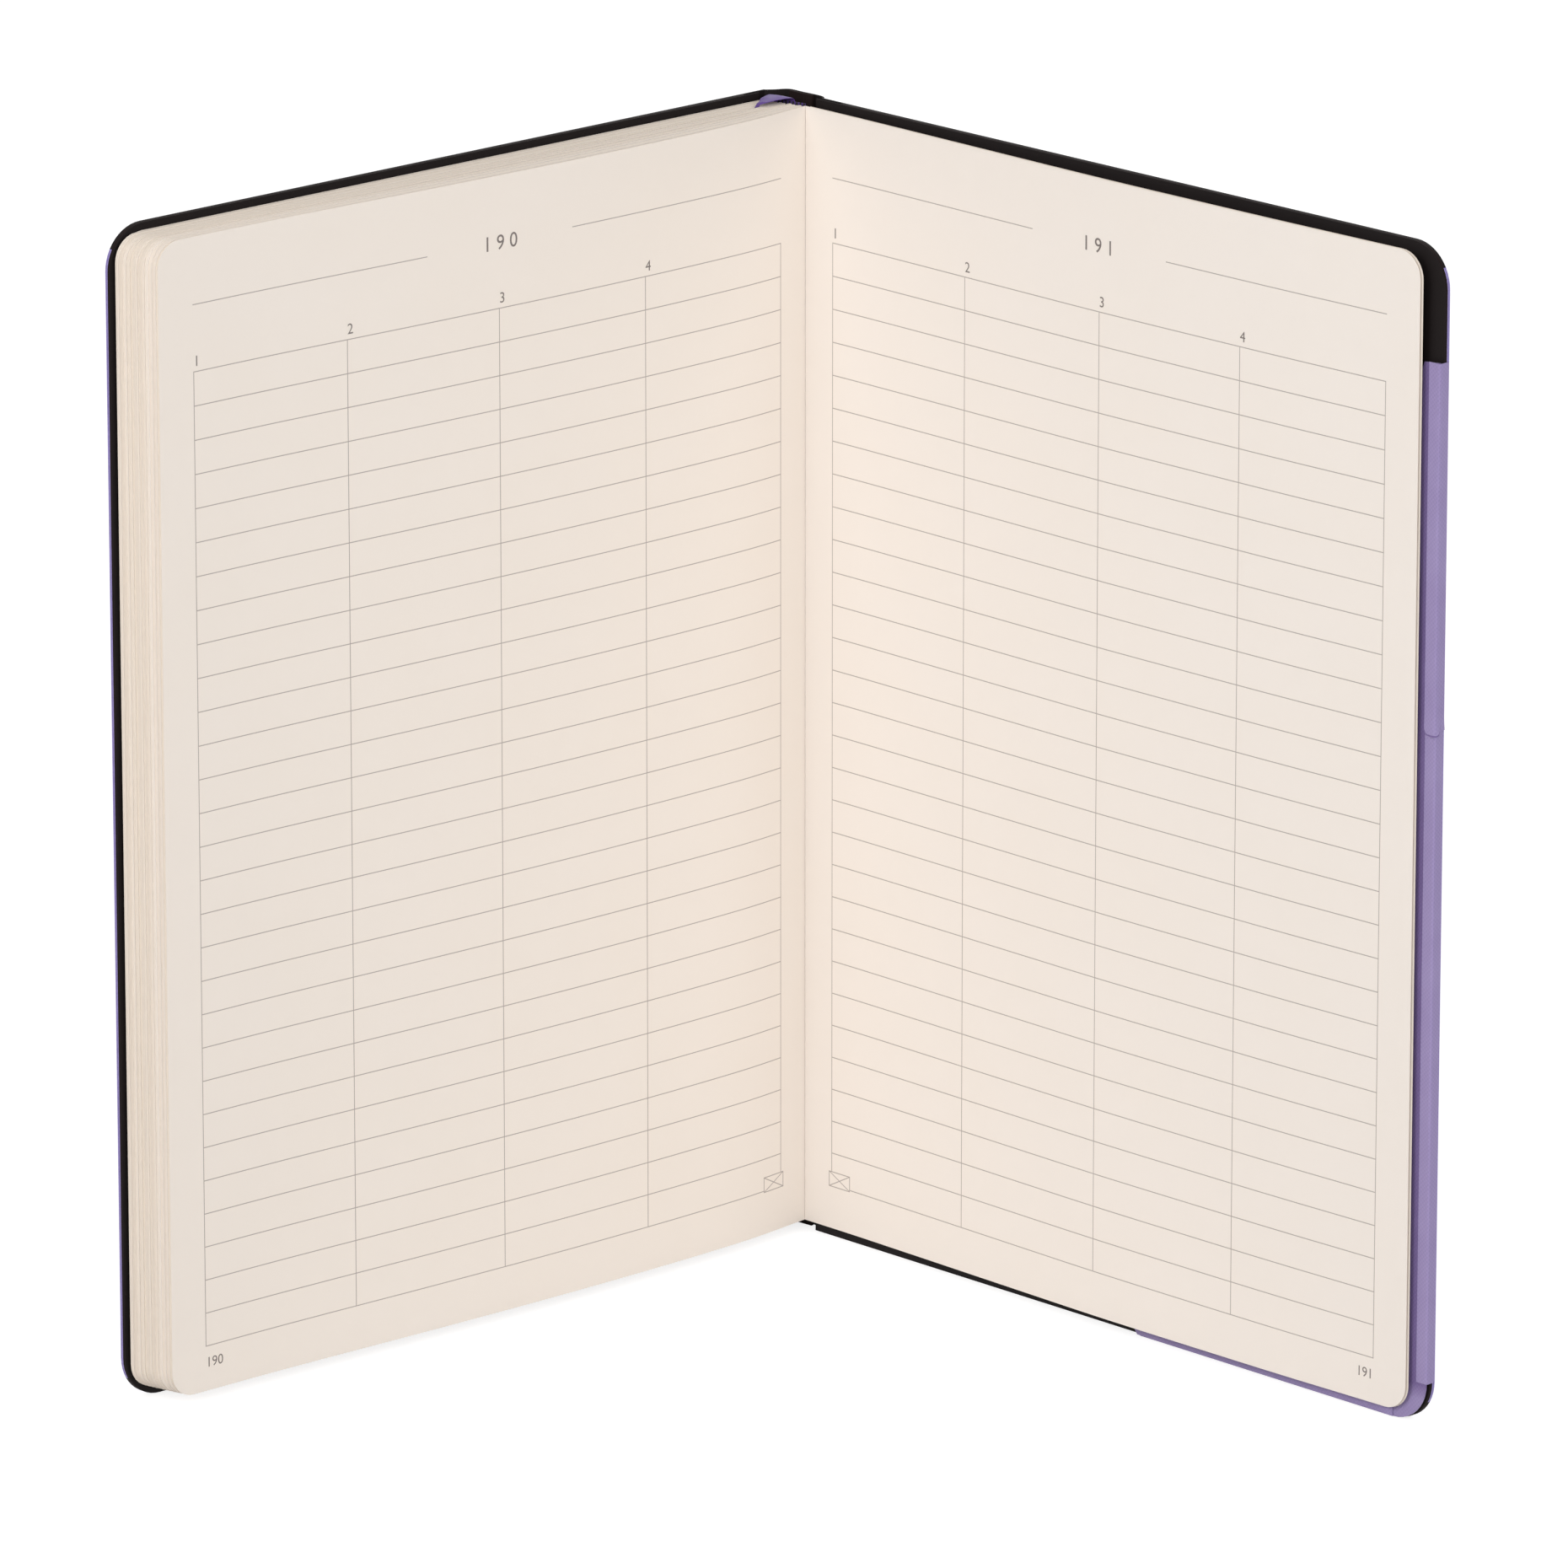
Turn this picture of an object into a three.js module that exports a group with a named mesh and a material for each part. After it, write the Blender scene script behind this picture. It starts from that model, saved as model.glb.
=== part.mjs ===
// A sewn, soft-covered lined notebook that stands open on its long cover edges.
// Millimetres, +Z up. The origin is the centre of the spine stiffener's foot, on the standing plane.
// Plan positions are worked out from the gutter line, where the two open pages meet.
import * as THREE from "three";

// Paper
const PAGE_WIDTH = 173.6;
const PAGE_HEIGHT = 240;
const PAGE_CORNER = 5.5;
const LEAF = 0.088;
const LEAVES_PER_SIGNATURE = 8;
const SIGNATURES = 12;
const LOOSE_LEAVES_OF_LAST = 2;
const SIGNATURE_PITCH = 0.81;
const FIRST_FOLD = 0.05;
const OPEN_LEAF_AT = 0.14;
const RIBBON_SPACE = 0.36;
const RIBBON_AFTER_SIGNATURE = 4;

// Covers
const FOOT_SQUARE = 2.4;
const HEAD_SQUARE = 1.5;
const FORE_SQUARE = 2;
const COVER_HEIGHT = FOOT_SQUARE + PAGE_HEIGHT + HEAD_SQUARE;
const COVER_WIDTH = PAGE_WIDTH + FORE_SQUARE;
const COVER_CORNER = 9;
const LINING = 0.25;
const BOARD = 0.55;
const SKIN = 0.5;
const GLUE_LINE = 0.1;
const COVER_THICKNESS = LINING + BOARD + SKIN + 2 * GLUE_LINE;
const CREASE_GAP = 0.9;
const BOARD_START = 6;
const LINING_START = 2.4;

// Plan angles, degrees from +X, and where the covers lie beside the gutter
const FRONT_ANGLE = 222.4;
const BACK_ANGLE = -45.7;
const SPINE_FACE_ANGLE = 145;
const FRONT_INNER_FACE = 10.6;
const FRONT_FLYLEAF_AT = 10.25;
const FRONT_CREASE_ALONG = 0.9;
const BACK_INNER_FACE = 1.5;
const BACK_CREASE_ALONG = 2.2;

// How far the page lines run on, so that the leaves nearest the cover fit on them
const LINE_END = PAGE_WIDTH + 8.4;
// Distance from the gutter within which the stepped folds bend over into the flat of the block
const FOLD_REACH = 12;
// Height of the open left page above the straight line from gutter to fore edge
const PAGE_ARCH = [
  [0, 0], [3, -0.43], [6, -0.85], [12, -1.65], [20, -2.4], [34, -3], [50, -3.3],
  [70, -3.3], [90, -2.9], [110, -2.3], [130, -1.5], [150, -0.9], [LINE_END, -0.6],
];
// Hang of the right page and of the flyleaf behind it, in front of the back cover
const RIGHT_PAGE = [
  [0, 0.06], [14, 0.12], [31, 0.52], [61, 1.34], [87, 2.0], [110, 2.05],
  [138, 1.9], [160, 1.4], [LINE_END, 1],
];
const BACK_FLYLEAF = [
  [0, -0.32], [14, -0.26], [31, 0.1], [61, 0.85], [87, 1.4], [110, 1.45],
  [138, 1.3], [160, 0.9], [LINE_END, 0.5],
];
const OPEN_LEAF_START = 0.5;
const BACK_FLYLEAF_START = 1;
const FRONT_FLYLEAF_START = 1.5;

// Spine
const SPINE_LINE = [[-6.3, 8.35], [-3.4, 8.8], [-0.6, 6.2], [2.2, 3.6], [3.45, 1.9]];
const STIFFENER = 0.7;
const STIFFENER_ENDS = [[-3.2, 7.6], [1.5, 3.3]];
const SPINE_LINING = 0.25;
const SPINE_LINING_OUT = 0.6;
const SPINE_LINING_INSET = 4;
const SPINE_LINING_EDGE = 0.25;
const THREAD = 0.34;
const THREAD_OUT = 0.3;
const STITCH_ROWS = 5;
const STITCH_FROM_FOOT = 16;
const STITCH_FROM_HEAD = 12;
const BAND_OUT = 0.93;
const BAND_DEPTH = 0.27;
const BAND_HEIGHT = 1.4;
const BAND_ENDS = [0.8, 8];
const BAND_PROUD = 0.2;

// Ribbon bookmark
const RIBBON = 0.14;
const RIBBON_WIDTH = 5.5;
const RIBBON_PINCH = 1.6;
const RIBBON_OUT = 1.45;
const RIBBON_RISE = 1.2;
const RIBBON_DIVE = 7;
const RIBBON_GLUED = 28;
const RIBBON_END = 24;

// Pocket
const POCKET = 0.3;
const POCKET_STAND = 1.05;
const POCKET_TOP = 220.6;
const POCKET_FOOT_WIDTH = 81;
const POCKET_INSET = 0.15;
const POCKET_MOUTH_DROP = 0.4;
const POCKET_MOUTH_RUN = 3;
const TAPE = 0.15;
const TAPE_WIDTH = 4.2;
const TAPE_GAP = 0.1;
const TAPE_JOIN = 144.5;
const TAPE_LAP = 2.4;
const FOOT_TAPE_HEIGHT = 2.6;
const FOOT_TAPE_CLEAR = 1.4;
const TAPE_END_CLEAR = 0.6;

const rad = THREE.MathUtils.degToRad;
const UP = new THREE.Vector3(0, 0, 1);

// A plan frame: x runs along the angle, y is up, z is level and to the right of x.
function planFrame(degrees) {
  const along = new THREE.Vector3(Math.cos(rad(degrees)), Math.sin(rad(degrees)), 0);
  const side = new THREE.Vector3().crossVectors(along, UP);
  return { along, side, matrix: new THREE.Matrix4().makeBasis(along, UP, side) };
}

function planPoint(frame, x, z) {
  return new THREE.Vector2(
    frame.along.x * x + frame.side.x * z,
    frame.along.y * x + frame.side.y * z,
  );
}

const front = planFrame(FRONT_ANGLE);
const back = planFrame(BACK_ANGLE);
const spineFace = planFrame(SPINE_FACE_ANGLE);
const frontCrease = planPoint(front, FRONT_CREASE_ALONG, FRONT_INNER_FACE + COVER_THICKNESS - SKIN / 2);
const backCrease = planPoint(back, BACK_CREASE_ALONG, -(BACK_INNER_FACE + COVER_THICKNESS - SKIN / 2));
const footCentre = new THREE.Vector2(
  (STIFFENER_ENDS[0][0] + STIFFENER_ENDS[1][0]) / 2,
  (STIFFENER_ENDS[0][1] + STIFFENER_ENDS[1][1]) / 2,
);

const notebook = new THREE.Group();
notebook.name = "lined_notebook";

const FINISHES = {
  paper: { color: 0xe9dfc3, roughness: 0.9, metalness: 0 },
  skin: { color: 0x8f84c4, roughness: 0.6, metalness: 0 },
  board: { color: 0x2a2a2c, roughness: 0.9, metalness: 0 },
  lining: { color: 0x1b1b1d, roughness: 0.75, metalness: 0 },
  cloth: { color: 0xd8d4c8, roughness: 0.95, metalness: 0 },
  thread: { color: 0xf1efe6, roughness: 0.9, metalness: 0 },
  ribbon: { color: 0x6b5bb0, roughness: 0.5, metalness: 0 },
  pocket: { color: 0xa79ed6, roughness: 0.65, metalness: 0 },
};

function add(name, geometry, finish) {
  geometry.translate(-footCentre.x, -footCentre.y, 0);
  const mesh = new THREE.Mesh(geometry, new THREE.MeshStandardMaterial(FINISHES[finish]));
  mesh.name = name;
  notebook.add(mesh);
}

function spline(points) {
  const line = new THREE.SplineCurve(points.map(([x, z]) => new THREE.Vector2(x, z)));
  line.arcLengthDivisions = 1500;
  return line;
}

// Closed skin over a row of four-cornered sections, each a list of points in order round the axis.
function loft(sections) {
  const corners = sections.flat();
  const positions = corners.flatMap((point) => [point.x, point.y, point.z]);
  const last = 4 * (sections.length - 1);
  const index = [0, 2, 1, 0, 3, 2, last, last + 1, last + 2, last, last + 2, last + 3];
  for (let i = 0; i < sections.length - 1; i += 1) {
    for (let j = 0; j < 4; j += 1) {
      const here = 4 * i + j;
      const next = 4 * i + ((j + 1) % 4);
      index.push(here, next, next + 4, here, next + 4, here + 4);
    }
  }
  const geometry = new THREE.BufferGeometry();
  geometry.setAttribute("position", new THREE.Float32BufferAttribute(positions, 3));
  geometry.setIndex(index);
  return geometry;
}

// Distances from the fold at which a sheet gets a section, and its share of full thickness at the first
const FOLD_STATIONS = [0, 0.1, 0.3];
const FOLD_FULLNESS = [0.35, 0.8, 1];
const SHEET_STATIONS = [1.5, 4, 8, 13, 19, 27, 38, 52, 68, 86, 104, 122, 140, 154];
const CORNER_STEPS = 7;

function stationsOf(length, corner, folded) {
  const stations = folded ? FOLD_STATIONS.slice() : [0];
  stations.push(...SHEET_STATIONS.filter((s) => s < length - corner - 1));
  const rows = stations.map((s) => ({ s, inset: 0 }));
  for (let i = 0; i <= CORNER_STEPS; i += 1) {
    const turn = rad((90 * i) / CORNER_STEPS);
    rows.push({ s: length - corner + corner * Math.sin(turn), inset: corner * (1 - Math.cos(turn)) });
  }
  return rows;
}

// A leaf, or a folded signature, that follows a plan line and has its fore-edge corners rounded.
function sheet(frame, line, { start = 0, length, thickness, folded = false }) {
  const total = line.getLength();
  const fullness = folded ? FOLD_FULLNESS : [];
  const sections = stationsOf(length - start, PAGE_CORNER, folded).map(({ s, inset }, i) => {
    const u = (s + start) / total;
    const centre = line.getPointAt(u);
    const tangent = line.getTangentAt(u);
    const half = (thickness / 2) * (fullness[i] ?? 1);
    const low = FOOT_SQUARE + inset;
    const high = FOOT_SQUARE + PAGE_HEIGHT - inset;
    const nearX = centre.x + tangent.y * half;
    const nearZ = centre.y - tangent.x * half;
    const farX = centre.x - tangent.y * half;
    const farZ = centre.y + tangent.x * half;
    return [
      new THREE.Vector3(nearX, low, nearZ),
      new THREE.Vector3(nearX, high, nearZ),
      new THREE.Vector3(farX, high, farZ),
      new THREE.Vector3(farX, low, farZ),
    ];
  });
  return loft(sections).applyMatrix4(frame.matrix);
}

// Page block. Folds sit side by side on the spine face; the leaves swell away from the cover side.
const foldAlong = spineFace.along.dot(front.along);
const foldAcross = spineFace.along.dot(front.side);
const blockDepth = FIRST_FOLD + SIGNATURES * SIGNATURE_PITCH + RIBBON_SPACE;

function blockLine(depth) {
  const swell = 1 - depth / blockDepth;
  return spline(
    PAGE_ARCH.map(([x, rise]) => [
      x + depth * foldAlong * Math.max(0, 1 - x / FOLD_REACH),
      depth * foldAcross + swell * rise,
    ]),
  );
}

function foldDepth(number) {
  const held = number <= RIBBON_AFTER_SIGNATURE ? RIBBON_SPACE : 0;
  return FIRST_FOLD + (SIGNATURES - number + 0.5) * SIGNATURE_PITCH + held;
}

for (let number = 1; number <= SIGNATURES; number += 1) {
  const whole = LEAVES_PER_SIGNATURE * LEAF;
  const missing = number === SIGNATURES ? LOOSE_LEAVES_OF_LAST * LEAF : 0;
  const depth = foldDepth(number) + missing / 2;
  add(
    "signature_" + String(number).padStart(2, "0"),
    sheet(front, blockLine(depth), { length: PAGE_WIDTH, thickness: whole - missing, folded: true }),
    "paper",
  );
}

function addLeaf(name, frame, line, start) {
  add(name, sheet(frame, line, { start, length: PAGE_WIDTH, thickness: LEAF }), "paper");
}

const flatLine = spline([0, LINE_END / 2, LINE_END].map((x) => [x, FRONT_FLYLEAF_AT]));
addLeaf("leaf_189_190", front, blockLine(OPEN_LEAF_AT), OPEN_LEAF_START);
addLeaf("leaf_191_192", back, spline(RIGHT_PAGE), OPEN_LEAF_START);
addLeaf("back_flyleaf", back, spline(BACK_FLYLEAF), BACK_FLYLEAF_START);
addLeaf("front_flyleaf", front, flatLine, FRONT_FLYLEAF_START);

// A flat plate in a cover's frame, square at the spine side and rounded at the fore edge.
function plate(frame, from, to, near, thickness) {
  const outline = new THREE.Shape();
  outline.moveTo(from, 0);
  outline.lineTo(to - COVER_CORNER, 0);
  outline.absarc(to - COVER_CORNER, COVER_CORNER, COVER_CORNER, -Math.PI / 2, 0, false);
  outline.absarc(to - COVER_CORNER, COVER_HEIGHT - COVER_CORNER, COVER_CORNER, 0, Math.PI / 2, false);
  outline.lineTo(from, COVER_HEIGHT);
  outline.closePath();
  const geometry = new THREE.ExtrudeGeometry(outline, {
    depth: thickness,
    bevelEnabled: false,
    curveSegments: CORNER_STEPS,
  });
  geometry.translate(0, 0, near);
  return geometry.applyMatrix4(frame.matrix);
}

// Each cover is three layers trimmed flush: lining inside, board between, skin outside.
function cover(name, frame, crease, innerFace, outward) {
  const foreEdge = crease + COVER_WIDTH;
  const layers = [
    ["lining", LINING, LINING_START, 0],
    ["board", BOARD, BOARD_START, LINING + GLUE_LINE],
    ["skin", SKIN, CREASE_GAP, LINING + BOARD + 2 * GLUE_LINE],
  ];
  for (const [layer, thickness, start, depth] of layers) {
    const near = outward > 0 ? innerFace + depth : -(innerFace + depth + thickness);
    add(name + "_" + layer, plate(frame, crease + start, foreEdge, near, thickness), layer);
  }
}

cover("front_cover", front, FRONT_CREASE_ALONG, FRONT_INNER_FACE, 1);
cover("back_cover", back, BACK_CREASE_ALONG, BACK_INNER_FACE, -1);

// Spine skin: a bent band from crease to crease with round edges, which the covers fold against.
function band(points, thickness, height) {
  const line = new THREE.SplineCurve(points);
  const steps = 22;
  const half = thickness / 2;
  const samples = Array.from({ length: steps + 1 }, (_, i) => ({
    at: line.getPointAt(i / steps),
    along: line.getTangentAt(i / steps),
  }));
  const outer = samples.map(({ at, along }) => [at.x - along.y * half, at.y + along.x * half]);
  const inner = samples.map(({ at, along }) => [at.x + along.y * half, at.y - along.x * half]);
  const roundEnd = ({ at, along }, sign) =>
    [-50, 0, 50].map((turn) => {
      const angle = Math.atan2(along.y, along.x) + (sign > 0 ? 0 : Math.PI) + rad(turn);
      return [at.x + half * Math.cos(angle), at.y + half * Math.sin(angle)];
    });
  const outline = new THREE.Shape(
    [
      ...inner,
      ...roundEnd(samples[steps], 1),
      ...outer.reverse(),
      ...roundEnd(samples[0], -1),
    ].map(([x, y]) => new THREE.Vector2(x, y)),
  );
  return new THREE.ExtrudeGeometry(outline, { depth: height, bevelEnabled: false });
}

const spineRoute = SPINE_LINE.map(([x, y]) => new THREE.Vector2(x, y));
add("spine_skin", band([frontCrease, ...spineRoute, backCrease], SKIN, COVER_HEIGHT), "skin");

// A box whose length runs along a frame, from one distance to another.
function bar(frame, from, to, near, depth, low, high) {
  const geometry = new THREE.BoxGeometry(to - from, high - low, depth);
  geometry.translate((from + to) / 2, (low + high) / 2, near + depth / 2);
  return geometry.applyMatrix4(frame.matrix);
}

const stiffenerRun = new THREE.Vector2(
  STIFFENER_ENDS[1][0] - STIFFENER_ENDS[0][0],
  STIFFENER_ENDS[1][1] - STIFFENER_ENDS[0][1],
);
const stiffener = new THREE.BoxGeometry(stiffenerRun.length(), STIFFENER, COVER_HEIGHT);
stiffener.rotateZ(stiffenerRun.angle());
stiffener.translate(footCentre.x, footCentre.y, COVER_HEIGHT / 2);
add("spine_stiffener", stiffener, "board");

add(
  "spine_lining",
  bar(
    spineFace,
    SPINE_LINING_EDGE,
    blockDepth - SPINE_LINING_EDGE,
    SPINE_LINING_OUT,
    SPINE_LINING,
    FOOT_SQUARE + SPINE_LINING_INSET,
    FOOT_SQUARE + PAGE_HEIGHT - SPINE_LINING_INSET,
  ),
  "cloth",
);

// Rows of link stitches across the folds, under the spine lining.
const stitchStep = (PAGE_HEIGHT - STITCH_FROM_FOOT - STITCH_FROM_HEAD) / (STITCH_ROWS - 1);
const stitchLength = blockDepth - 2 * SPINE_LINING_EDGE;
for (let row = 0; row < STITCH_ROWS; row += 1) {
  const stitch = new THREE.CylinderGeometry(THREAD / 2, THREAD / 2, stitchLength, 8);
  stitch.rotateZ(Math.PI / 2);
  stitch.translate(blockDepth / 2, FOOT_SQUARE + STITCH_FROM_FOOT + row * stitchStep, THREAD_OUT);
  add("sewing_thread_" + (row + 1), stitch.applyMatrix4(spineFace.matrix), "thread");
}

function addEndBand(name, low) {
  add(name, bar(spineFace, ...BAND_ENDS, BAND_OUT, BAND_DEPTH, low, low + BAND_HEIGHT), "ribbon");
}

addEndBand("head_band", FOOT_SQUARE + PAGE_HEIGHT + BAND_PROUD - BAND_HEIGHT);
addEndBand("tail_band", FOOT_SQUARE - BAND_PROUD);

// Ribbon: up the hollow of the spine, over the head, then gathered and down between two signatures.
const ribbonDepth = foldDepth(RIBBON_AFTER_SIGNATURE + 1) + (SIGNATURE_PITCH + RIBBON_SPACE) / 2;
const ribbonLine = blockLine(ribbonDepth);

function ribbonBody() {
  const rest = ribbonLine.getPointAt(RIBBON_DIVE / ribbonLine.getLength());
  const flat = RIBBON_WIDTH / 2;
  const thin = RIBBON / 2;
  const pinch = RIBBON_PINCH / 2;
  const head = FOOT_SQUARE + PAGE_HEIGHT;
  const top = head + RIBBON_RISE;
  const across = ribbonDepth * foldAcross;
  const hollow = ribbonDepth * foldAlong - RIBBON_OUT;
  const rows = [
    { x: hollow, y: head - RIBBON_GLUED, z: across, lean: 0, wide: flat, deep: thin },
    { x: hollow, y: head - 1.2, z: across, lean: 0, wide: flat, deep: thin },
    { x: hollow + 0.1, y: head + 0.4, z: across, lean: 15, wide: flat, deep: thin },
    { x: hollow + 0.5, y: top - 0.2, z: across, lean: 50, wide: flat, deep: thin },
    { x: hollow + 1.4, y: top, z: across, lean: 90, wide: flat, deep: thin },
    { x: rest.x - 6.3, y: top, z: across, lean: 90, wide: flat * 0.92, deep: thin },
    { x: rest.x - 3.9, y: top - 0.15, z: across, lean: 95, wide: flat * 0.66, deep: thin * 1.2 },
    { x: rest.x - 1.9, y: top - 0.45, z: rest.y, lean: 110, wide: flat * 0.32, deep: thin * 2 },
    { x: rest.x - 0.8, y: head + 0.45, z: rest.y, lean: 145, wide: thin, deep: pinch * 0.5 },
    { x: rest.x - 0.3, y: head - 0.6, z: rest.y, lean: 180, wide: thin, deep: pinch },
    { x: rest.x, y: head - 12, z: rest.y, lean: 180, wide: thin, deep: flat },
    { x: rest.x, y: RIBBON_END, z: rest.y, lean: 180, wide: thin, deep: flat },
  ];
  const sections = rows.map(({ x, y, z, lean, wide, deep }) => {
    const dx = Math.cos(rad(lean)) * deep;
    const dy = -Math.sin(rad(lean)) * deep;
    const skew = wide * foldAlong;
    return [
      new THREE.Vector3(x - dx - skew, y - dy, z - wide),
      new THREE.Vector3(x - dx + skew, y - dy, z + wide),
      new THREE.Vector3(x + dx + skew, y + dy, z + wide),
      new THREE.Vector3(x + dx - skew, y + dy, z - wide),
    ];
  });
  return loft(sections).applyMatrix4(front.matrix);
}

add("ribbon_bookmark", ribbonBody(), "ribbon");

// Pocket on the back lining: a corner panel with a slanting mouth, and tapes that bind its edges.
const backForeEdge = BACK_CREASE_ALONG + COVER_WIDTH;
const panelNear = -(BACK_INNER_FACE - POCKET_STAND);
const panelEdge = backForeEdge - POCKET_INSET;
const panelCorner = COVER_CORNER - POCKET_INSET;

function panelBody() {
  const footEnd = backForeEdge - POCKET_FOOT_WIDTH;
  const turnAt = panelEdge - panelCorner;
  const outline = new THREE.Shape();
  outline.moveTo(footEnd, POCKET_INSET);
  outline.lineTo(turnAt, POCKET_INSET);
  outline.absarc(turnAt, POCKET_INSET + panelCorner, panelCorner, -Math.PI / 2, 0, false);
  outline.lineTo(panelEdge, POCKET_TOP);
  outline.lineTo(panelEdge - TAPE_WIDTH, POCKET_TOP - POCKET_MOUTH_DROP);
  outline.lineTo(footEnd - POCKET_MOUTH_RUN, FOOT_TAPE_HEIGHT + FOOT_TAPE_CLEAR);
  outline.closePath();
  const geometry = new THREE.ExtrudeGeometry(outline, {
    depth: POCKET,
    bevelEnabled: false,
    curveSegments: CORNER_STEPS,
  });
  geometry.translate(0, 0, panelNear - POCKET);
  return geometry.applyMatrix4(back.matrix);
}

add("pocket_panel", panelBody(), "pocket");

const tapeNear = panelNear + TAPE_GAP;
const upperTapeNear = tapeNear + TAPE + TAPE_GAP;
const tapeStart = panelEdge - TAPE_WIDTH;
const footTapeStart = backForeEdge - POCKET_FOOT_WIDTH + 1;
const footTapeTop = POCKET_INSET + FOOT_TAPE_HEIGHT;
const lowerTapeFoot = COVER_CORNER + FOOT_SQUARE;
const upperTapeFoot = TAPE_JOIN - TAPE_LAP;
const upperTapeTop = POCKET_TOP - TAPE_END_CLEAR;

function addTape(name, from, to, near, low, high) {
  add(name, bar(back, from, to, near, TAPE, low, high), "pocket");
}

addTape("pocket_tape_lower", tapeStart, panelEdge, tapeNear, lowerTapeFoot, TAPE_JOIN);
addTape("pocket_tape_upper", tapeStart, panelEdge, upperTapeNear, upperTapeFoot, upperTapeTop);
addTape("pocket_tape_foot", footTapeStart, panelEdge - panelCorner, tapeNear, POCKET_INSET, footTapeTop);

export default notebook;
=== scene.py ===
"""Lined notebook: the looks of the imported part, laid out as an add-on and run as a script.

Everything is in metres in the part's own frame. Flat pieces are made first as they would lie on a
table, X from the fold and Y from the foot, and are then bent onto the plan line that carries them.
"""

import math
import random

import bmesh
import bpy
import numpy as np
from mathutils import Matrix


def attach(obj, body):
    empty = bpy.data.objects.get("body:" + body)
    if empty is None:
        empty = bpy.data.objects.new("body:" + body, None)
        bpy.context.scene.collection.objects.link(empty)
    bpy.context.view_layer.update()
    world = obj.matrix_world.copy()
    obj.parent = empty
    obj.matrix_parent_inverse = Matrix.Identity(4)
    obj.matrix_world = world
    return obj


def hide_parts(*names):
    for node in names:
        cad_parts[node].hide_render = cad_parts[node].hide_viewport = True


bl_info = {
    "name": "Lined notebook",
    "version": (1, 0, 0),
    "blender": (4, 5, 0),
    "location": "View3D > Sidebar > Notebook",
    "description": "Builds a sewn notebook's paper, covers, ribbon and pocket on its frame",
    "category": "Object",
}

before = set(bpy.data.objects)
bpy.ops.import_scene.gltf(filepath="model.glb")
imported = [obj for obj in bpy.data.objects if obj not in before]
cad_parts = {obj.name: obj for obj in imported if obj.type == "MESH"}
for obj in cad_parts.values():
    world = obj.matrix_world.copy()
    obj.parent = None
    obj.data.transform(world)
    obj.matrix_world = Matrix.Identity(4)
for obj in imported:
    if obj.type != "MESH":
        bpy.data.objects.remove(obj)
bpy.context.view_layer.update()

MM = 0.001

# Paper
PAGE_WIDTH = 173.6 * MM
PAGE_HEIGHT = 240 * MM
PAGE_CORNER = 5.5 * MM
LEAF_SHOWN = 0.096 * MM
SHEETS_PER_SIGNATURE = 4
SIGNATURES = 12
SIGNATURE_PITCH = 0.81 * MM
LEAF_STEP = SIGNATURE_PITCH / (2 * SHEETS_PER_SIGNATURE)
FIRST_FOLD = 0.05 * MM
OPEN_LEAF_AT = 0.14 * MM
BACK_FLYLEAF_START = 1 * MM
FRONT_FLYLEAF_START = 1.5 * MM
FRONT_FLYLEAF_AT = 10.25 * MM
RIBBON_SPACE = 0.36 * MM
RIBBON_AFTER_SIGNATURE = 4
BLOCK_DEPTH = FIRST_FOLD + SIGNATURES * SIGNATURE_PITCH + RIBBON_SPACE
SETTLED_PITCH = (BLOCK_DEPTH - FIRST_FOLD) / SIGNATURES
SETTLE_FROM = 12 * MM
SETTLE_TO = 90 * MM

# Covers
FOOT_SQUARE = 2.4 * MM
HEAD_SQUARE = 1.5 * MM
COVER_HEIGHT = FOOT_SQUARE + PAGE_HEIGHT + HEAD_SQUARE
COVER_WIDTH = PAGE_WIDTH + 2 * MM
COVER_CORNER = 9 * MM
LINING = 0.25 * MM
BOARD = 0.55 * MM
SKIN = 0.5 * MM
GLUE_LINE = 0.1 * MM
# The skin is turned this far over the board's fore edge
TURNED = 0.3 * MM
COVER_THICKNESS = LINING + BOARD + SKIN + 2 * GLUE_LINE
BOARD_START = 6 * MM
LINING_START = 2.4 * MM
HINGE_OVERRUN = 0.7 * MM

# Where the covers stand beside the gutter, seen from above
FRONT_ANGLE = 222.4
BACK_ANGLE = -45.7
SPINE_FACE_ANGLE = 145
FRONT_INNER_FACE = 10.6 * MM
FRONT_CREASE_ALONG = 0.9 * MM
BACK_INNER_FACE = 1.5 * MM
BACK_CREASE_ALONG = 2.2 * MM
STIFFENER_ENDS = np.array([[-3.2, 7.6], [1.5, 3.3]]) * MM
FOOT_CENTRE = STIFFENER_ENDS.mean(axis=0)
SPINE_LINE = np.array([[-6.3, 8.35], [-3.4, 8.8], [-0.6, 6.2], [2.2, 3.6], [3.45, 1.9]]) * MM

LINE_END = PAGE_WIDTH / MM + 8.4
FOLD_REACH = 12 * MM
PAGE_ARCH = [
    [0, 0], [3, -0.43], [6, -0.85], [12, -1.65], [20, -2.4], [34, -3], [50, -3.3],
    [70, -3.3], [90, -2.9], [110, -2.3], [130, -1.5], [150, -0.9], [LINE_END, -0.6],
]
RIGHT_PAGE = [
    [0, 0.06], [14, 0.12], [31, 0.52], [61, 1.34], [87, 2.0], [110, 2.05],
    [138, 1.9], [160, 1.4], [LINE_END, 1],
]
BACK_FLYLEAF = [
    [0, -0.32], [14, -0.26], [31, 0.1], [61, 0.85], [87, 1.4], [110, 1.45],
    [138, 1.3], [160, 0.9], [LINE_END, 0.5],
]

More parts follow.
